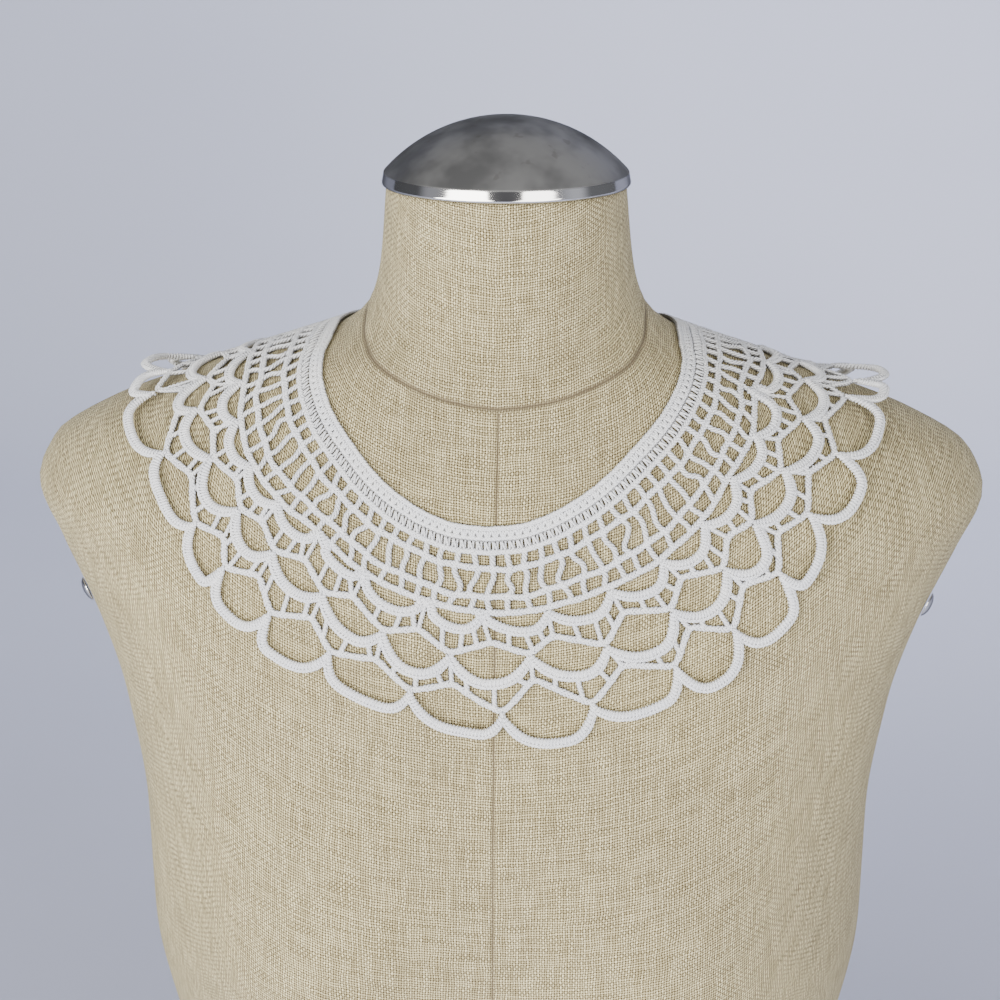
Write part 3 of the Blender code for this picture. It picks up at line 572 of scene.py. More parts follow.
def cotton_finish():
    """White mercerised cotton: three plies seen as fine slanting ridges, a soft uneven fuzz.

    A thread is painted light along its top and painted shade low on its sides, by the cosine of the turn round it,
    which the second UV coordinate gives, so that close threads have painted shade in the hollows between them. The
    grooves between plies get painted shade too.
    """
    made, tree, shader = new_finish("white_cotton_thread")
    uv = add(tree, "ShaderNodeUVMap", uv_map="thread").outputs[0]
    place = add(tree, "ShaderNodeTexCoord").outputs["Object"]
    split = add(tree, "ShaderNodeSeparateXYZ", {0: uv})
    slant = calc(tree, "MULTIPLY_ADD", split.outputs[0], TAU / 0.0011,
                 calc(tree, "MULTIPLY", split.outputs[1], TAU * 3.0))
    ply = calc(tree, "ABSOLUTE", calc(tree, "SINE", calc(tree, "MULTIPLY", slant, 0.5)))
    fuzz = noise(tree, place, 2600.0, 2.0, 0.6)
    patch = noise(tree, place, 90.0, 2.0, 0.5)
    white = mix(tree, ramp(tree, patch, 0.35, 0.65), (0.93, 0.94, 0.97, 1), (0.98, 0.98, 0.985, 1))
    # painted shade in the grooves between the plies
    painted_shade_between_plies = mix(tree, 1.0, white, (0.78, 0.78, 0.80, 1), "MULTIPLY")
    colour = mix(tree, ramp(tree, ply, 0.0, 0.32), painted_shade_between_plies, white)
    # painted shade low on each thread's sides and painted light on its top, so close threads get painted shade
    # between them
    upwards = calc(tree, "COSINE", calc(tree, "MULTIPLY", split.outputs[1], TAU))
    hollow = mix(tree, 1.0, colour, (0.34, 0.33, 0.32, 1), "MULTIPLY")
    colour = mix(tree, ramp(tree, upwards, 0.06, 0.66), hollow, colour)
    tree.links.new(colour, shader.inputs["Base Color"])
    height = calc(tree, "MULTIPLY_ADD", fuzz, 0.5, ply)
    bump = add(tree, "ShaderNodeBump", {"Height": height, "Distance": 0.00022, "Strength": 0.8})
    tree.links.new(bump.outputs[0], shader.inputs["Normal"])
    shader.inputs["Roughness"].default_value = 0.75
    shader.inputs["Sheen Weight"].default_value = 0.25
    shader.inputs["Sheen Roughness"].default_value = 0.4
    return made


def steel_finish():
    """Brushed steel dome with smudges and fine scratches; the rolled rim is polished."""
    made, tree, shader = new_finish("brushed_steel_cap")
    place = add(tree, "ShaderNodeTexCoord").outputs["Object"]
    centred = add(tree, "ShaderNodeVectorMath", {0: place, 1: (0.0, 0.0086, -0.5564)}, operation="ADD").outputs[0]
    split = add(tree, "ShaderNodeSeparateXYZ", {0: centred})
    out = calc(tree, "SQRT", calc(tree, "ADD", calc(tree, "POWER", split.outputs[0], 2.0),
                                  calc(tree, "POWER", split.outputs[1], 2.0)))
    rim = ramp(tree, split.outputs[2], 0.0053, 0.0044)
    round_it = calc(tree, "ARCTAN2", split.outputs[1], split.outputs[0])
    rings = add(tree, "ShaderNodeCombineXYZ", {0: calc(tree, "MULTIPLY", out, 3000.0),
                                               1: calc(tree, "MULTIPLY", round_it, 3.0)}).outputs[0]
    brushed = noise(tree, rings, 1.0, 3.0, 0.6)
    smudge = noise(tree, centred, 42.0, 3.0, 0.6)
    spot = ramp(tree, noise(tree, centred, 150.0, 2.0, 0.5), 0.66, 0.74)
    tone = mix(tree, ramp(tree, smudge, 0.35, 0.65), (0.235, 0.233, 0.225, 1), (0.375, 0.37, 0.355, 1))
    tone = mix(tree, calc(tree, "MULTIPLY", spot, 0.30), tone, (0.15, 0.135, 0.12, 1))
    tone = mix(tree, rim, tone, (0.74, 0.73, 0.715, 1))
    tree.links.new(tone, shader.inputs["Base Color"])
    rough = calc(tree, "MULTIPLY_ADD", smudge, 0.16, 0.30)
    rough = add(tree, "ShaderNodeMix", {0: rim, 2: rough, 3: 0.10}, data_type="FLOAT").outputs[0]
    tree.links.new(rough, shader.inputs["Roughness"])
    bump = add(tree, "ShaderNodeBump", {"Height": brushed, "Distance": 0.00002, "Strength": 0.5})
    tree.links.new(bump.outputs[0], shader.inputs["Normal"])
    shader.inputs["Metallic"].default_value = 1.0
    shader.inputs["Specular Tint"].default_value = (0.15, 0.15, 0.15, 1)
    return made


def stage_finish():
    """Pale lavender-grey paper with a faint cloudiness, painted darker to the left and lighter to the right as
    painted light.
    """
    made, tree, shader = new_finish("pale_backdrop")
    place = add(tree, "ShaderNodeTexCoord").outputs["Object"]
    cloud = noise(tree, place, 1.6, 3.0, 0.5)
    across = add(tree, "ShaderNodeSeparateXYZ", {0: place}).outputs[0]
    # painted light: the backdrop painted darker to the left and lighter to the right
    tone = mix(tree, ramp(tree, across, -0.60, 0.60), (0.55, 0.575, 0.70, 1), (0.69, 0.715, 0.87, 1))
    clouded = mix(tree, 1.0, tone, (0.95, 0.95, 0.96, 1), "MULTIPLY")
    tone = mix(tree, ramp(tree, cloud, 0.3, 0.7), tone, clouded)
    tree.links.new(tone, shader.inputs["Base Color"])
    shader.inputs["Roughness"].default_value = 0.95
    return made


# The form

SEAM_STEPS = np.array([-1.6, -0.9, -0.4, 0.0, 0.4, 0.9, 1.6])
CENTRE_STEPS = np.array([-0.75, -0.42, -0.20, 0.0, 0.20, 0.42, 0.75])


def groove(distance):
    """A sewn seam's hollow with a soft swell on each side, by distance in millimetres."""
    return (-0.55 * np.exp(-(distance / 0.45) ** 2)
            + 0.22 * np.exp(-((np.abs(distance) - 1.3) / 0.8) ** 2))


def make_form(finish):
    """Linen cover: rings of points down the form, drawn in at the neck seam and the front seam, with painted shade
    along both.
    """
    turns = np.arange(-180, 180, 2.0)
    turns = np.sort(np.concatenate([turns[np.abs(turns) > 1.2], CENTRE_STEPS]))
    count = len(turns)
    turns = np.radians(np.append(turns, 180.0))
    fine = np.arange(0, NECK_TOP + 1)
    line = form_point(math.radians(70), fine)
    run = np.append(0, np.cumsum(np.linalg.norm(np.diff(line, axis=0), axis=1)))
    seam = smooth_table(NECK_SEAM, 1, np.abs(np.degrees(turns)))
    low = np.concatenate([[0.0, 0.35, 1.3, 2.6], np.interp(np.linspace(0, 1, 171)[1:-1], run / run[-1], fine)])
    low = low[(low < 476)] / 478.0
    neck = np.linspace(0, 1, 26)[1:]
    torso_rows = low[:, None] * (seam - 2.2)[None]
    seam_rows = seam[None] + SEAM_STEPS[:, None]
    neck_rows = (seam + 2.2)[None] + neck[:, None] * (NECK_TOP - seam - 2.2)[None]
    heights = np.concatenate([torso_rows, seam_rows, neck_rows])
    points = form_point(np.broadcast_to(turns, heights.shape), heights)
    across = unit(np.gradient(points, axis=1))
    up = unit(np.gradient(points, axis=0))
    normal = unit(np.cross(across, up))
    near = (heights - seam)
    from_front = np.degrees(turns)[None] * math.pi / 180 * np.linalg.norm(points[..., :2], axis=-1)
    below = near < -1.0
    push = groove(near) * 0.9 + np.where(below, 0.8 * groove(from_front), 0.0)
    # painted shade along the seams' hollows, stored in the 'seam' attribute for the linen
    seam_shade = np.exp(-(near / 0.75) ** 2) + np.where(below, np.exp(-(from_front / 0.42) ** 2), 0.0)
    tuck = BASE_ROUND * (1 - np.sqrt(1 - np.clip(1 - heights / BASE_ROUND, 0, 1) ** 2))
    flat = unit((points - points.mean(axis=1, keepdims=True)) * [1, 1, 0])
    points = points + normal * push[..., None] - flat * tuck[..., None]
    points[0, :, 2] = 0.0
    rings, cols = heights.shape
    step_u = np.linalg.norm(np.diff(points, axis=1), axis=-1)
    u = np.concatenate([np.zeros((rings, 1)), np.cumsum(step_u, axis=1)], axis=1)
    front = int(np.argmin(np.abs(turns)))
    u = u - u[:, front:front + 1]
    step_v = np.linalg.norm(np.diff(points, axis=0), axis=-1)
    v = np.concatenate([np.zeros((1, cols)), np.cumsum(step_v, axis=0)])
    at_seam = len(low) + 3
    v = v - v[at_seam][None]
    body = points[:, :count]
    index = np.arange(rings * count).reshape(rings, count)
    nxt = np.roll(index, -1, 1)
    quads = np.stack([index[:-1], nxt[:-1], nxt[1:], index[1:]], -1)
    uv = np.stack([u, v], -1) * MM
    quad_uv = np.stack([uv[:-1, :-1], uv[:-1, 1:], uv[1:, 1:], uv[1:, :-1]], -2)
    inner = [body[0] * [s, s, 1] for s in (0.7, 0.35)]
    first = rings * count
    extra = np.concatenate(inner + [[[0.0, 0.0, 0.0]]])
    a, b, c = index[0], first + np.arange(count), first + count + np.arange(count)
    under = [np.stack([np.roll(a, -1), a, b, np.roll(b, -1)], -1),
             np.stack([np.roll(b, -1), b, c, np.roll(c, -1)], -1)]
    tip = np.stack([np.roll(c, -1), c, np.full(count, first + 2 * count)], -1)
    top = index[-1][None]
    everything = np.concatenate([body.reshape(-1, 3), extra])
    plain = [everything[g][..., :2] * MM for g in under + [tip, top]]
    form = put_mesh("linen_cover", everything, [quads.reshape(-1, 4)] + under + [tip, top],
                    [quad_uv] + plain, finish, ["form_body"])
    attribute = form.data.attributes.new("seam", "FLOAT", "POINT")
    values = np.concatenate([seam_shade[:, :count].ravel(), np.zeros(len(extra))])
    attribute.data.foreach_set("value", np.clip(values, 0, 1).astype(np.float32))
    return form


def turned(name, profile, steps, place, axis, finish, replaced):
    """A profile (radius, height) turned about an axis at a place, closed at both ends."""
    profile = np.asarray(profile, float)
    turn = np.arange(steps) * TAU / steps
    axis = unit(np.asarray(axis, float))
    one = unit(np.cross(axis, [0.0, 1.0, 0.0] if abs(axis[1]) < 0.9 else [1.0, 0.0, 0.0]))
    two = np.cross(axis, one)
    inner = profile[1:-1]
    around = np.cos(turn)[:, None] * one + np.sin(turn)[:, None] * two
    rings = np.asarray(place) + inner[:, 1, None, None] * axis + inner[:, 0, None, None] * around
    ends = np.asarray(place) + profile[[0, -1], 1][:, None] * axis
    index = np.arange(len(inner) * steps).reshape(len(inner), steps)
    nxt = np.roll(index, -1, 1)
    quads = np.stack([index[:-1], index[1:], nxt[1:], nxt[:-1]], -1).reshape(-1, 4)
    count = len(inner) * steps
    first = np.stack([np.full(steps, count), index[0], nxt[0]], -1)
    last = np.stack([np.full(steps, count + 1), nxt[-1], index[-1]], -1)
    points = np.concatenate([rings.reshape(-1, 3), ends])
    groups = [quads, first, last]
    uvs = [points[g][..., :2] * MM for g in groups]
    return put_mesh(name, points, groups, uvs, finish, replaced)


CAP_RADIUS, CAP_HEIGHT, CAP_ROLL, CAP_SEAT = 48.8, 26.5, 3.0, 0.4


def make_cap(finish):
    """Domed disc with a polished rim: an arc of a ball, a rounded shoulder, a nearly upright face."""
    shoulder = [(2.5 - 1.8 * math.cos(a), 4.3 + 1.8 * math.sin(a)) for a in np.radians([42, 34, 26, 18])]
    face = [(0.73 - 0.65 * t, 4.60 - 3.4 * t) for t in np.linspace(0, 1, 8)]
    under = [(1.18 - 1.1 * math.cos(a), 1.1 - 1.1 * math.sin(a)) for a in np.radians([8, 30, 55, 90])]
    rim = [(CAP_RADIUS - inwards, up) for inwards, up in shoulder + face + under]
    edge, low = rim[0]
    ball = (edge ** 2 + (CAP_HEIGHT - low) ** 2) / (2 * (CAP_HEIGHT - low))
    spread = math.asin(edge / ball)
    dome = [(ball * math.sin(a), CAP_HEIGHT - ball + ball * math.cos(a))
            for a in np.linspace(0, spread, 40)[:-1]]
    place = (0.0, float(smooth_table(LEAN, 1, NECK_TOP)), NECK_TOP + CAP_SEAT)
    return turned("steel_cap", dome + rim + [(0.0, 0.0)], 128, place, (0, 0, 1), finish, ["neck_cap"])


SCREW_HEIGHT, SCREW_TURN, SCREW_SEAT = 393.0, 79.0, 0.5


def make_screw(side, finish):
    """Domed screw head, square to the surface, with a rounded edge."""
    turn = math.radians(SCREW_TURN) * side
    spot = form_point(turn, SCREW_HEIGHT)
    across = form_point(turn + 0.01, SCREW_HEIGHT) - form_point(turn - 0.01, SCREW_HEIGHT)
    up = form_point(turn, SCREW_HEIGHT + 1) - form_point(turn, SCREW_HEIGHT - 1)
    out = unit(np.cross(across, up))
    name = "left" if side < 0 else "right"
    profile = [(0, 2.0), (0.5, 1.99), (1.4, 1.93), (2.4, 1.75), (3.4, 1.42), (4.2, 1.0), (4.7, 0.6), (5.0, 0.2), (5.0, 0.0), (0, 0.0)]
    return turned("screw_" + name, profile, 40, spot + out * SCREW_SEAT, out, finish, ["arm_screw_" + name])


# The collar

STITCHES = 176
THREAD = 0.59
ARC_FULL = 2.3            # how full the covered arcs are
OVERHANG = 0.035          # scallops by which a loop's sides bulge past its ties
# Posts below each arc: share of the arc's width at the post's top and at its foot
FIRST_POSTS = ((0.39, 0.40), (0.66, 0.69), (0.86, 0.94))
SECOND_POSTS = ((0.25, 0.26), (0.56, 0.57), (0.84, 0.92))


def long_line(reach, height, spacing, samples=1200):
    """A row from one end of the collar to the other at one reach."""
    return along_path(np.linspace(0, SCALLOPS, samples), np.full(samples, reach), height, spacing)


SLOT_FROM, SLOT_TO = 6.5, 8.5


def strands(skein, line, up, offsets, lifts, thread, sides=4):
    """One stitch as strands side by side: line + offset across the cloth + lift off it."""
    side = sideways(line, up)
    for offset, lift in zip(offsets, lifts):
        skein.add(line + side * np.asarray(offset)[..., None] + up * np.asarray(lift)[..., None],
                  up, thread, sides)


def make_band(cotton):
    """Neck band: plaited edge, close slanting stitches, then tall stitches with slots between."""
    skein = Skein()
    for reach, width, phase in ((1.1, 2.3, 0.0), (4.9, 1.9, 2.0), (10.0, 2.5, 0.5)):
        line, up, run = long_line(reach, 1.35, 0.6)
        plait(skein, line, up, run, width, THREAD, 4.4, phase, 4)
    middle = (np.arange(STITCHES) + 0.5) / STITCHES * SCALLOPS
    t = np.linspace(0, 1, 7)
    reach = 1.9 + 2.9 * t[None] + 0 * middle[:, None]
    line, up, run = along_path(middle[:, None] + 0 * reach, reach, 1.25, count=7)
    apart = 1.25 * (1 - 0.75 * t)
    strands(skein, line, up, (-apart, apart, 0 * apart), (0.1 + 0 * t, 0.25 + 0 * t, 0.45 * t), 0.62)
    reach = SLOT_FROM - 0.5 + (SLOT_TO - SLOT_FROM + 1.1) * t[None] + 0 * middle[:, None]
    line, up, run = along_path(middle[:, None] + 0.010 * (t - 0.5), reach, 1.2, count=7)
    waist = 1 - 0.17 * np.sin(math.pi * t)
    strands(skein, line, up, (-0.88 * waist, 0.88 * waist, 0.6 - 1.2 * t),
            (0.0 * t, 0.15 + 0 * t, 0.40 + 0.20 * np.sin(math.pi * t)), 0.51)
    for near, far in ((0.7, SLOT_FROM), (SLOT_TO + 0.2, BAND_OUT)):
        line, up, run = long_line((near + far) / 2, 0.55, 2.0)
        skein.add(line, up, 0.42, 6, (far - near) / 0.84)
    return skein.piece("band_stitches", cotton, ["neck_band"])


def make_net(cotton, rng):
    """Filet net: short posts, tall wavy posts and short posts between three chain lines."""
    skein = Skein()
    for reach, phase in ((LINE_A, 0.3), (LINE_B, 1.1), (LINE_C, 2.3)):
        line, up, run = long_line(reach, 1.3, 0.58)
        plait(skein, line, up, run, 2.9, THREAD, 4.5, phase, 4)
    step = SCALLOPS / POSTS
    middle = np.arange(POSTS + 1) * step
    t = np.linspace(0, 1, 24)
    for near, far, wave, lean, count in ((10.2, LINE_A, 0.0, 0.10, 9), (LINE_A, LINE_B, 0.74, 0.20, 15),
                                         (LINE_B, LINE_C, 0.0, 0.12, 9)):
        tilt = rng.normal(0, lean * step, POSTS + 1)[:, None] * 0.6
        bend = rng.normal(0, wave, POSTS + 1)[:, None] / pitch(near)
        along = middle[:, None] + tilt * (t - 0.5) + bend * np.sin(TAU * t)
        along = np.clip(along, 0, SCALLOPS)
        reach = near + (far - near) * t + 0 * along
        line, up, run = along_path(along, reach, 1.15, count=count)
        twist(skein, line, up, run, 2.6, THREAD, 5.0, 3, rng.uniform(0, TAU, (POSTS + 1, 1)), 4)
    return skein.piece("net_chains_and_posts", cotton, ["filet_net"])


def chain_zigzag(skein, peaks, peak_reach, valleys, valley_reach, height, phase):
    """Zigzag chain through peaks and valleys, its corners rounded by a running mean."""
    along = np.concatenate([peaks, valleys])
    reach = np.concatenate([peak_reach, valley_reach])
    order = np.argsort(along)
    at = np.linspace(max(along.min(), 0.0), min(along.max(), SCALLOPS), 4000)
    path = np.interp(at, along[order], reach[order])
    width = 41
    window = np.hanning(width)
    padded = np.pad(path, width // 2, mode="edge")
    path = np.convolve(padded, window / window.sum(), "valid")
    line, up, run = along_path(at, path, height, 0.58)
    plait(skein, line, up, run, 2.9, THREAD, 4.5, phase, 4)
    return at, path


def short_posts(skein, starts, ends, height, rng):
    """Short twisted posts from places to places, each (m, 2) of along and reach."""
    t = np.linspace(0, 1, 12)
    along = starts[:, :1] + (ends[:, :1] - starts[:, :1]) * t
    reach = starts[:, 1:] + (ends[:, 1:] - starts[:, 1:]) * t
    line, up, run = along_path(along, reach, height, count=9)
    twist(skein, line, up, run, 2.4, THREAD, 4.6, 3, rng.uniform(0, TAU, (len(along), 1)), 4)


def hanging(ties, out, deep, deepest, full, share):
    """Reach of bows hung from tie to tie: the line between the ties + deep bow(share)."""
    straight = out[:-1, None] + np.diff(out)[:, None] * share
    return straight + deep[:, None] * bow(share, deepest[:, None], full)


def arcs(skein, rows, foot, height, half, samples, turns):
    """Thick covered arcs from tie to tie."""
    share = 0.5 - 0.5 * np.cos(np.linspace(0, math.pi, 80))[None]
    ties = rows[:, TIE]
    along = ties[:-1, None] + np.diff(ties)[:, None] * share
    reach = hanging(ties, rows[:, OUT] + foot, rows[:-1, DEEP] - foot, rows[:-1, DEEPEST], ARC_FULL, share)
    line, up, run = along_path(along, reach, height, count=samples)
    s = run / run[:, -1:]
    full = 0.60 + 0.40 * np.clip(np.sin(math.pi * s) * 1.8, 0, 1)
    covered(skein, line, up, run, half, 0.85, THREAD, turns, 2.1, full)


def posts_under(skein, rows, shares, foot, at, path, rng):
    """Short posts from each arc and each tie down to the zigzag chain."""
    left, span = rows[:-1, TIE], np.diff(rows[:, TIE])
    for high, low in shares:
        jitter = rng.normal(0, 0.025, (len(left), 2))
        top_share = (high + jitter[:, 0])[:, None]
        a, b = left + span * top_share[:, 0], left + span * (low + jitter[:, 1])
        top = hanging(rows[:, TIE], rows[:, OUT] + foot, rows[:-1, DEEP] - foot, rows[:-1, DEEPEST],
                      ARC_FULL, top_share)[:, 0]
        foot_reach = np.interp(b, at, path)
        keep = foot_reach > top + 2.2
        short_posts(skein, np.stack([a, top + 1.0], -1)[keep], np.stack([b, foot_reach], -1)[keep], 1.15, rng)


def make_first_scallops(cotton, rng):
    """Covered arcs below the net with lens-shaped holes, posts, and a zigzag chain under them."""
    first, second, _ = rows_of_ties()
    rows = whole_row(FIRST_ROW, first, HIDDEN)
    below = whole_row(SECOND_ROW, second, HIDDEN)
    peaks = peaks_of(rows, HIDDEN, len(FIRST_ROW))
    skein = Skein()
    arcs(skein, rows, -0.5, 1.5, 1.30, 200, 22)
    at, path = chain_zigzag(skein, peaks, rows[:, PEAK], below[:, TIE], below[:, OUT] - 0.7, 1.25, 0.7)
    posts_under(skein, rows, FIRST_POSTS, -0.5, at, path, rng)
    starts = np.stack([rows[:, TIE], rows[:, OUT] - 0.5], -1)
    short_posts(skein, starts, np.stack([peaks, np.interp(peaks, at, path)], -1), 1.2, rng)
    return skein.piece("first_scallop_chains", cotton, ["scallops_first"])


def make_second_scallops(cotton, rng):
    """Larger open arcs tied under the first zigzag, with posts and a second zigzag chain."""
    _, second, third = rows_of_ties()
    rows = whole_row(SECOND_ROW, second, HIDDEN)
    below = whole_row(THIRD_ROW, third, HIDDEN - 1)
    peaks = peaks_of(rows, HIDDEN, len(SECOND_ROW))
    skein = Skein()
    arcs(skein, rows, 0.3, 1.5, 1.50, 240, 26)
    at, path = chain_zigzag(skein, peaks, rows[:, PEAK], below[:, TIE], below[:, OUT] - 0.8, 1.25, 1.9)
    posts_under(skein, rows, SECOND_POSTS, 0.3, at, path, rng)
    starts = np.stack([rows[:, TIE], rows[:, OUT] - 0.4], -1)
    short_posts(skein, starts, np.stack([peaks, np.interp(peaks, at, path)], -1), 1.2, rng)
    return skein.piece("second_scallop_chains", cotton, ["scallops_second"])


def make_outer_loops(cotton, rng):
    """Covered cord looped from tie to tie, a little proud of the form at the bottom of each loop."""
    _, _, third = rows_of_ties()
    rows = whole_row(THIRD_ROW, third, HIDDEN - 1)
    share = 0.5 - 0.5 * np.cos(np.linspace(0, math.pi, 120))[None]
    left, span, out = rows[:-1, [TIE]], np.diff(rows[:, TIE])[:, None], rows[:, OUT] + 0.4
    rise = bow(share, rows[:-1, [LOWEST]], rows[:-1, [FULL]])
    straight = out[:-1, None] + np.diff(out)[:, None] * share
    low_line = out[:-1] + np.diff(out) * rows[:-1, LOWEST]
    along = left + span * share - OVERHANG * np.sin(TAU * share)
    reach = straight + (rows[:-1, LOW] - low_line)[:, None] * rise
    height = 1.6 + rng.uniform(0.2, 1.6, len(span))[:, None] * rise
    skein = Skein()
    line, up, run = along_path(along, reach, height, count=300)
    s = run / run[:, -1:]
    full = 0.66 + 0.34 * np.clip(np.sin(math.pi * s) * 2.2, 0, 1)
    covered(skein, line, up, run, 1.34, 0.92, THREAD, 33, 1.9, full)
    starts = np.stack([rows[:, TIE], rows[:, OUT] - 1.2], -1)
    short_posts(skein, starts, np.stack([rows[:, TIE], rows[:, OUT] + 1.2], -1), 1.6, rng)
    return skein.piece("outer_loop_cord", cotton, ["outer_loops"])


BUTTON_RADIUS, BUTTON_THICK, BUTTON_ALONG, BUTTON_REACH = 4.5, 2.6, 0.62, 5.4
LOOP_THREAD, LOOP_PLAY, LOOP_ROOT, LOOP_HALF_WIDTH = 0.9, 0.4, -0.42, 3.2
BAND_TOP = 0.9 + 2.2 + 0.35


def make_button(cotton):
    """Small worked button: one thread wound in a low dome, r = R t, height falling to the edge."""
    spot, out = lay(BUTTON_ALONG, BUTTON_REACH, np.float64(BAND_TOP))
    one = unit(np.cross(out, [0.0, 0.0, 1.0]))
    two = np.cross(out, one)
    skein = Skein()
    turns, n = 5.0, 260
    t = np.linspace(0.02, 1, n)
    a = TAU * turns * t
    r = (BUTTON_RADIUS - 0.5) * t
    z = BUTTON_THICK - 0.55 - 0.9 * t ** 2
    line = spot + r[:, None] * (np.cos(a)[:, None] * one + np.sin(a)[:, None] * two) + z[:, None] * out
    skein.add(line[None], np.broadcast_to(out, line.shape)[None], 0.5, 6)
    t = np.linspace(0, 1, 60)
    a = TAU * t * 2
    ring = np.cos(a)[:, None] * one + np.sin(a)[:, None] * two
    line = spot + (BUTTON_RADIUS - 0.55) * ring + (0.45 + 0.7 * t)[:, None] * out
    skein.add(line[None], np.broadcast_to(out, line.shape)[None], 0.5, 6)
    core = spot + out * np.linspace(0.2, BUTTON_THICK - 0.75, 6)[:, None]
    skein.add(core[None], np.broadcast_to(one, core.shape)[None],
              np.array([[3.6, 3.7, 3.6, 3.3, 2.6, 1.6]]), 24)
    return skein.piece("worked_button", cotton, ["button"])


def make_button_loop(cotton):
    """Twisted thread loop across the opening, round the button: two straights and a half ring."""
    step = float(pitch(BUTTON_REACH))
    turn = np.radians(np.linspace(90, -90, 25))
    ring = BUTTON_RADIUS + LOOP_THREAD + LOOP_PLAY
    straight = np.linspace(LOOP_ROOT, BUTTON_ALONG, 13)[:-1]
    half = LOOP_HALF_WIDTH + (ring - LOOP_HALF_WIDTH) * (straight - LOOP_ROOT) / (BUTTON_ALONG - LOOP_ROOT)
    along = np.concatenate([straight, BUTTON_ALONG + ring * np.cos(turn) / step, straight[::-1]])
    reach = np.concatenate([BUTTON_REACH - half, BUTTON_REACH - ring * np.sin(turn), (BUTTON_REACH + half)[::-1]])
    points, ups = lay(np.mod(along, SCALLOPS), reach, np.full(len(along), BAND_TOP + LOOP_THREAD))
    run = np.append(0, np.cumsum(np.linalg.norm(np.diff(points, axis=0), axis=1)))
    at = np.linspace(0, run[-1], 110)
    line = np.stack([np.interp(at, run, points[:, c]) for c in range(3)], -1)[None]
    up = unit(np.stack([np.interp(at, run, ups[:, c]) for c in range(3)], -1))[None]
    skein = Skein()
    twist(skein, line, up, at[None], 1.8, 0.45, 3.0, 3)
    return skein.piece("loop_of_thread", cotton, ["button_loop"])


# Camera, stage and light

AIM = Vector((0.0013, -0.0766, 0.448))
CAMERA_TURN, CAMERA_RISE, CAMERA_AWAY, LENS = 3.2, 17.5, 0.828, 79.2


def from_front(turn, rise, away):
    """A place seen from the middle of the form: degrees to the right, degrees up, metres away."""
    turn, rise = math.radians(turn), math.radians(rise)
    return AIM + away * Vector((math.sin(turn) * math.cos(rise), -math.cos(turn) * math.cos(rise), math.sin(rise)))


def make_camera():
    data = bpy.data.cameras.new("camera")
    data.lens, data.sensor_width = LENS, 36.0
    camera = bpy.data.objects.new("camera", data)
    camera.location = from_front(CAMERA_TURN, CAMERA_RISE, CAMERA_AWAY)
    camera.rotation_euler = (AIM - camera.location).to_track_quat("-Z", "Y").to_euler()
    bpy.context.scene.collection.objects.link(camera)
    bpy.context.scene.camera = camera


def make_light(name, turn, rise, away, width, height, watts, colour):
    data = bpy.data.lights.new(name, "AREA")
    data.shape = "RECTANGLE"
    data.size, data.size_y = width, height
    data.energy = watts
    data.color = colour
    light = bpy.data.objects.new(name, data)
    light.location = from_front(turn, rise, away)
    light.rotation_euler = (AIM - light.location).to_track_quat("-Z", "Z").to_euler()
    bpy.context.scene.collection.objects.link(light)


def make_backdrop_light():
    """Strip above and behind the form that lights the backdrop only, brighter to the right."""
    data = bpy.data.lights.new("backdrop_light", "AREA")
    data.shape = "RECTANGLE"
    data.size, data.size_y = 2.2, 0.5
    data.energy = 24.0
    data.color = (0.93, 0.95, 1.0)
    light = bpy.data.objects.new("backdrop_light", data)
    light.location = (0.25, 0.75, 1.5)
    light.rotation_euler = Vector((0.0, 1.3, -0.4)).to_track_quat("-Z", "Z").to_euler()
    bpy.context.scene.collection.objects.link(light)


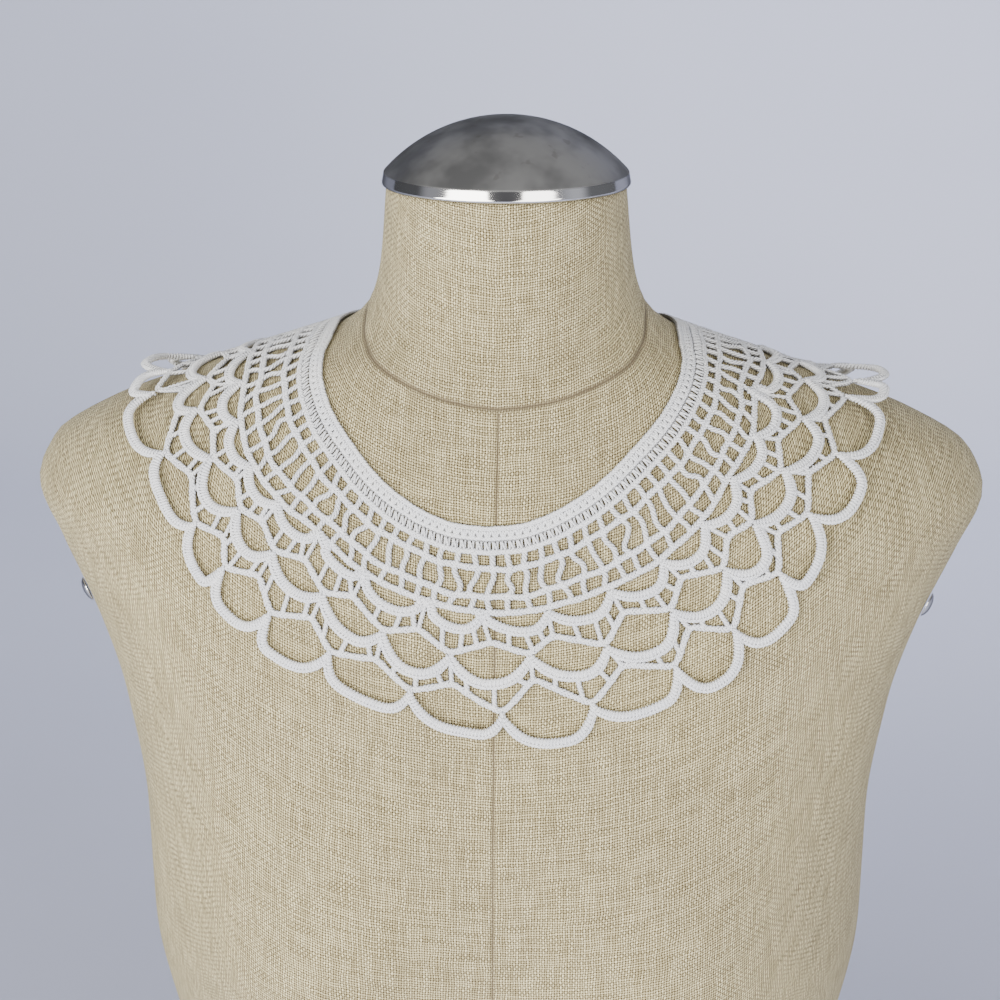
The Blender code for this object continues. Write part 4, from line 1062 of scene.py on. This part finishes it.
def make_stage(finish):
    """Floor that sweeps up into the backdrop: a profile (y, z) carried along x."""
    bend = np.radians(np.linspace(0, 90, 25))
    radius, back = 0.60, 1.95
    y = np.concatenate([[-2.6, -1.0, 0.0], back - radius + radius * np.sin(bend), [back, back]])
    z = np.concatenate([[0.0, 0.0, 0.0], radius - radius * np.cos(bend), [1.5, 2.6]])
    x = np.linspace(-3.2, 3.2, 9)
    points = np.stack([np.broadcast_to(x[:, None], (9, len(y))), np.broadcast_to(y, (9, len(y))),
                       np.broadcast_to(z, (9, len(y)))], -1).reshape(-1, 3)
    index = np.arange(len(points)).reshape(9, len(y))
    faces = np.stack([index[:-1, :-1], index[1:, :-1], index[1:, 1:], index[:-1, 1:]], -1).reshape(-1, 4)
    mesh = bpy.data.meshes.new("floor_and_backdrop")
    mesh.from_pydata(points, [], faces)
    mesh.shade_smooth()
    mesh.materials.append(finish)
    thing = bpy.data.objects.new("floor_and_backdrop", mesh)
    bpy.context.scene.collection.objects.link(thing)


def make_world():
    """Soft room light: fairly bright overhead, dimmer to the left, dark low behind the camera."""
    world = bpy.data.worlds.new("studio")
    bpy.context.scene.world = world
    world.use_nodes = True
    tree = world.node_tree
    way = add(tree, "ShaderNodeTexCoord").outputs["Generated"]
    split = add(tree, "ShaderNodeSeparateXYZ", {0: way})
    overhead = mix(tree, ramp(tree, split.outputs[0], -0.5, 0.6), (0.50, 0.505, 0.525, 1), (0.60, 0.605, 0.635, 1))
    level = mix(tree, ramp(tree, split.outputs[1], -0.80, -0.35), (0.09, 0.09, 0.10, 1), (0.56, 0.575, 0.64, 1))
    level = mix(tree, ramp(tree, split.outputs[1], -0.30, -0.05), level, (0.16, 0.165, 0.18, 1))
    dimmed = mix(tree, 1.0, level, (0.6, 0.6, 0.6, 1), "MULTIPLY")
    level = mix(tree, ramp(tree, split.outputs[0], -0.9, -0.3), dimmed, level)
    colour = mix(tree, ramp(tree, split.outputs[2], 0.15, 0.65), level, overhead)
    tree.links.new(colour, tree.nodes["Background"].inputs[0])
    tree.nodes["Background"].inputs[1].default_value = 1.0


def main():
    rng = np.random.default_rng(7)
    make_camera()
    linen, cotton, steel = linen_finish(), cotton_finish(), steel_finish()
    make_form(linen)
    make_cap(steel)
    make_screw(-1, steel)
    make_screw(1, steel)
    make_band(cotton)
    make_net(cotton, rng)
    make_first_scallops(cotton, rng)
    make_second_scallops(cotton, rng)
    make_outer_loops(cotton, rng)
    make_button(cotton)
    make_button_loop(cotton)
    make_stage(stage_finish())
    make_world()
    make_light("window_left", -37, 4, 1.75, 1.6, 1.1, 62.0, (1.0, 0.985, 0.95))
    make_backdrop_light()
    make_light("window_right", 32, 4, 1.75, 1.1, 1.1, 27.0, (1.0, 0.985, 0.96))


main()
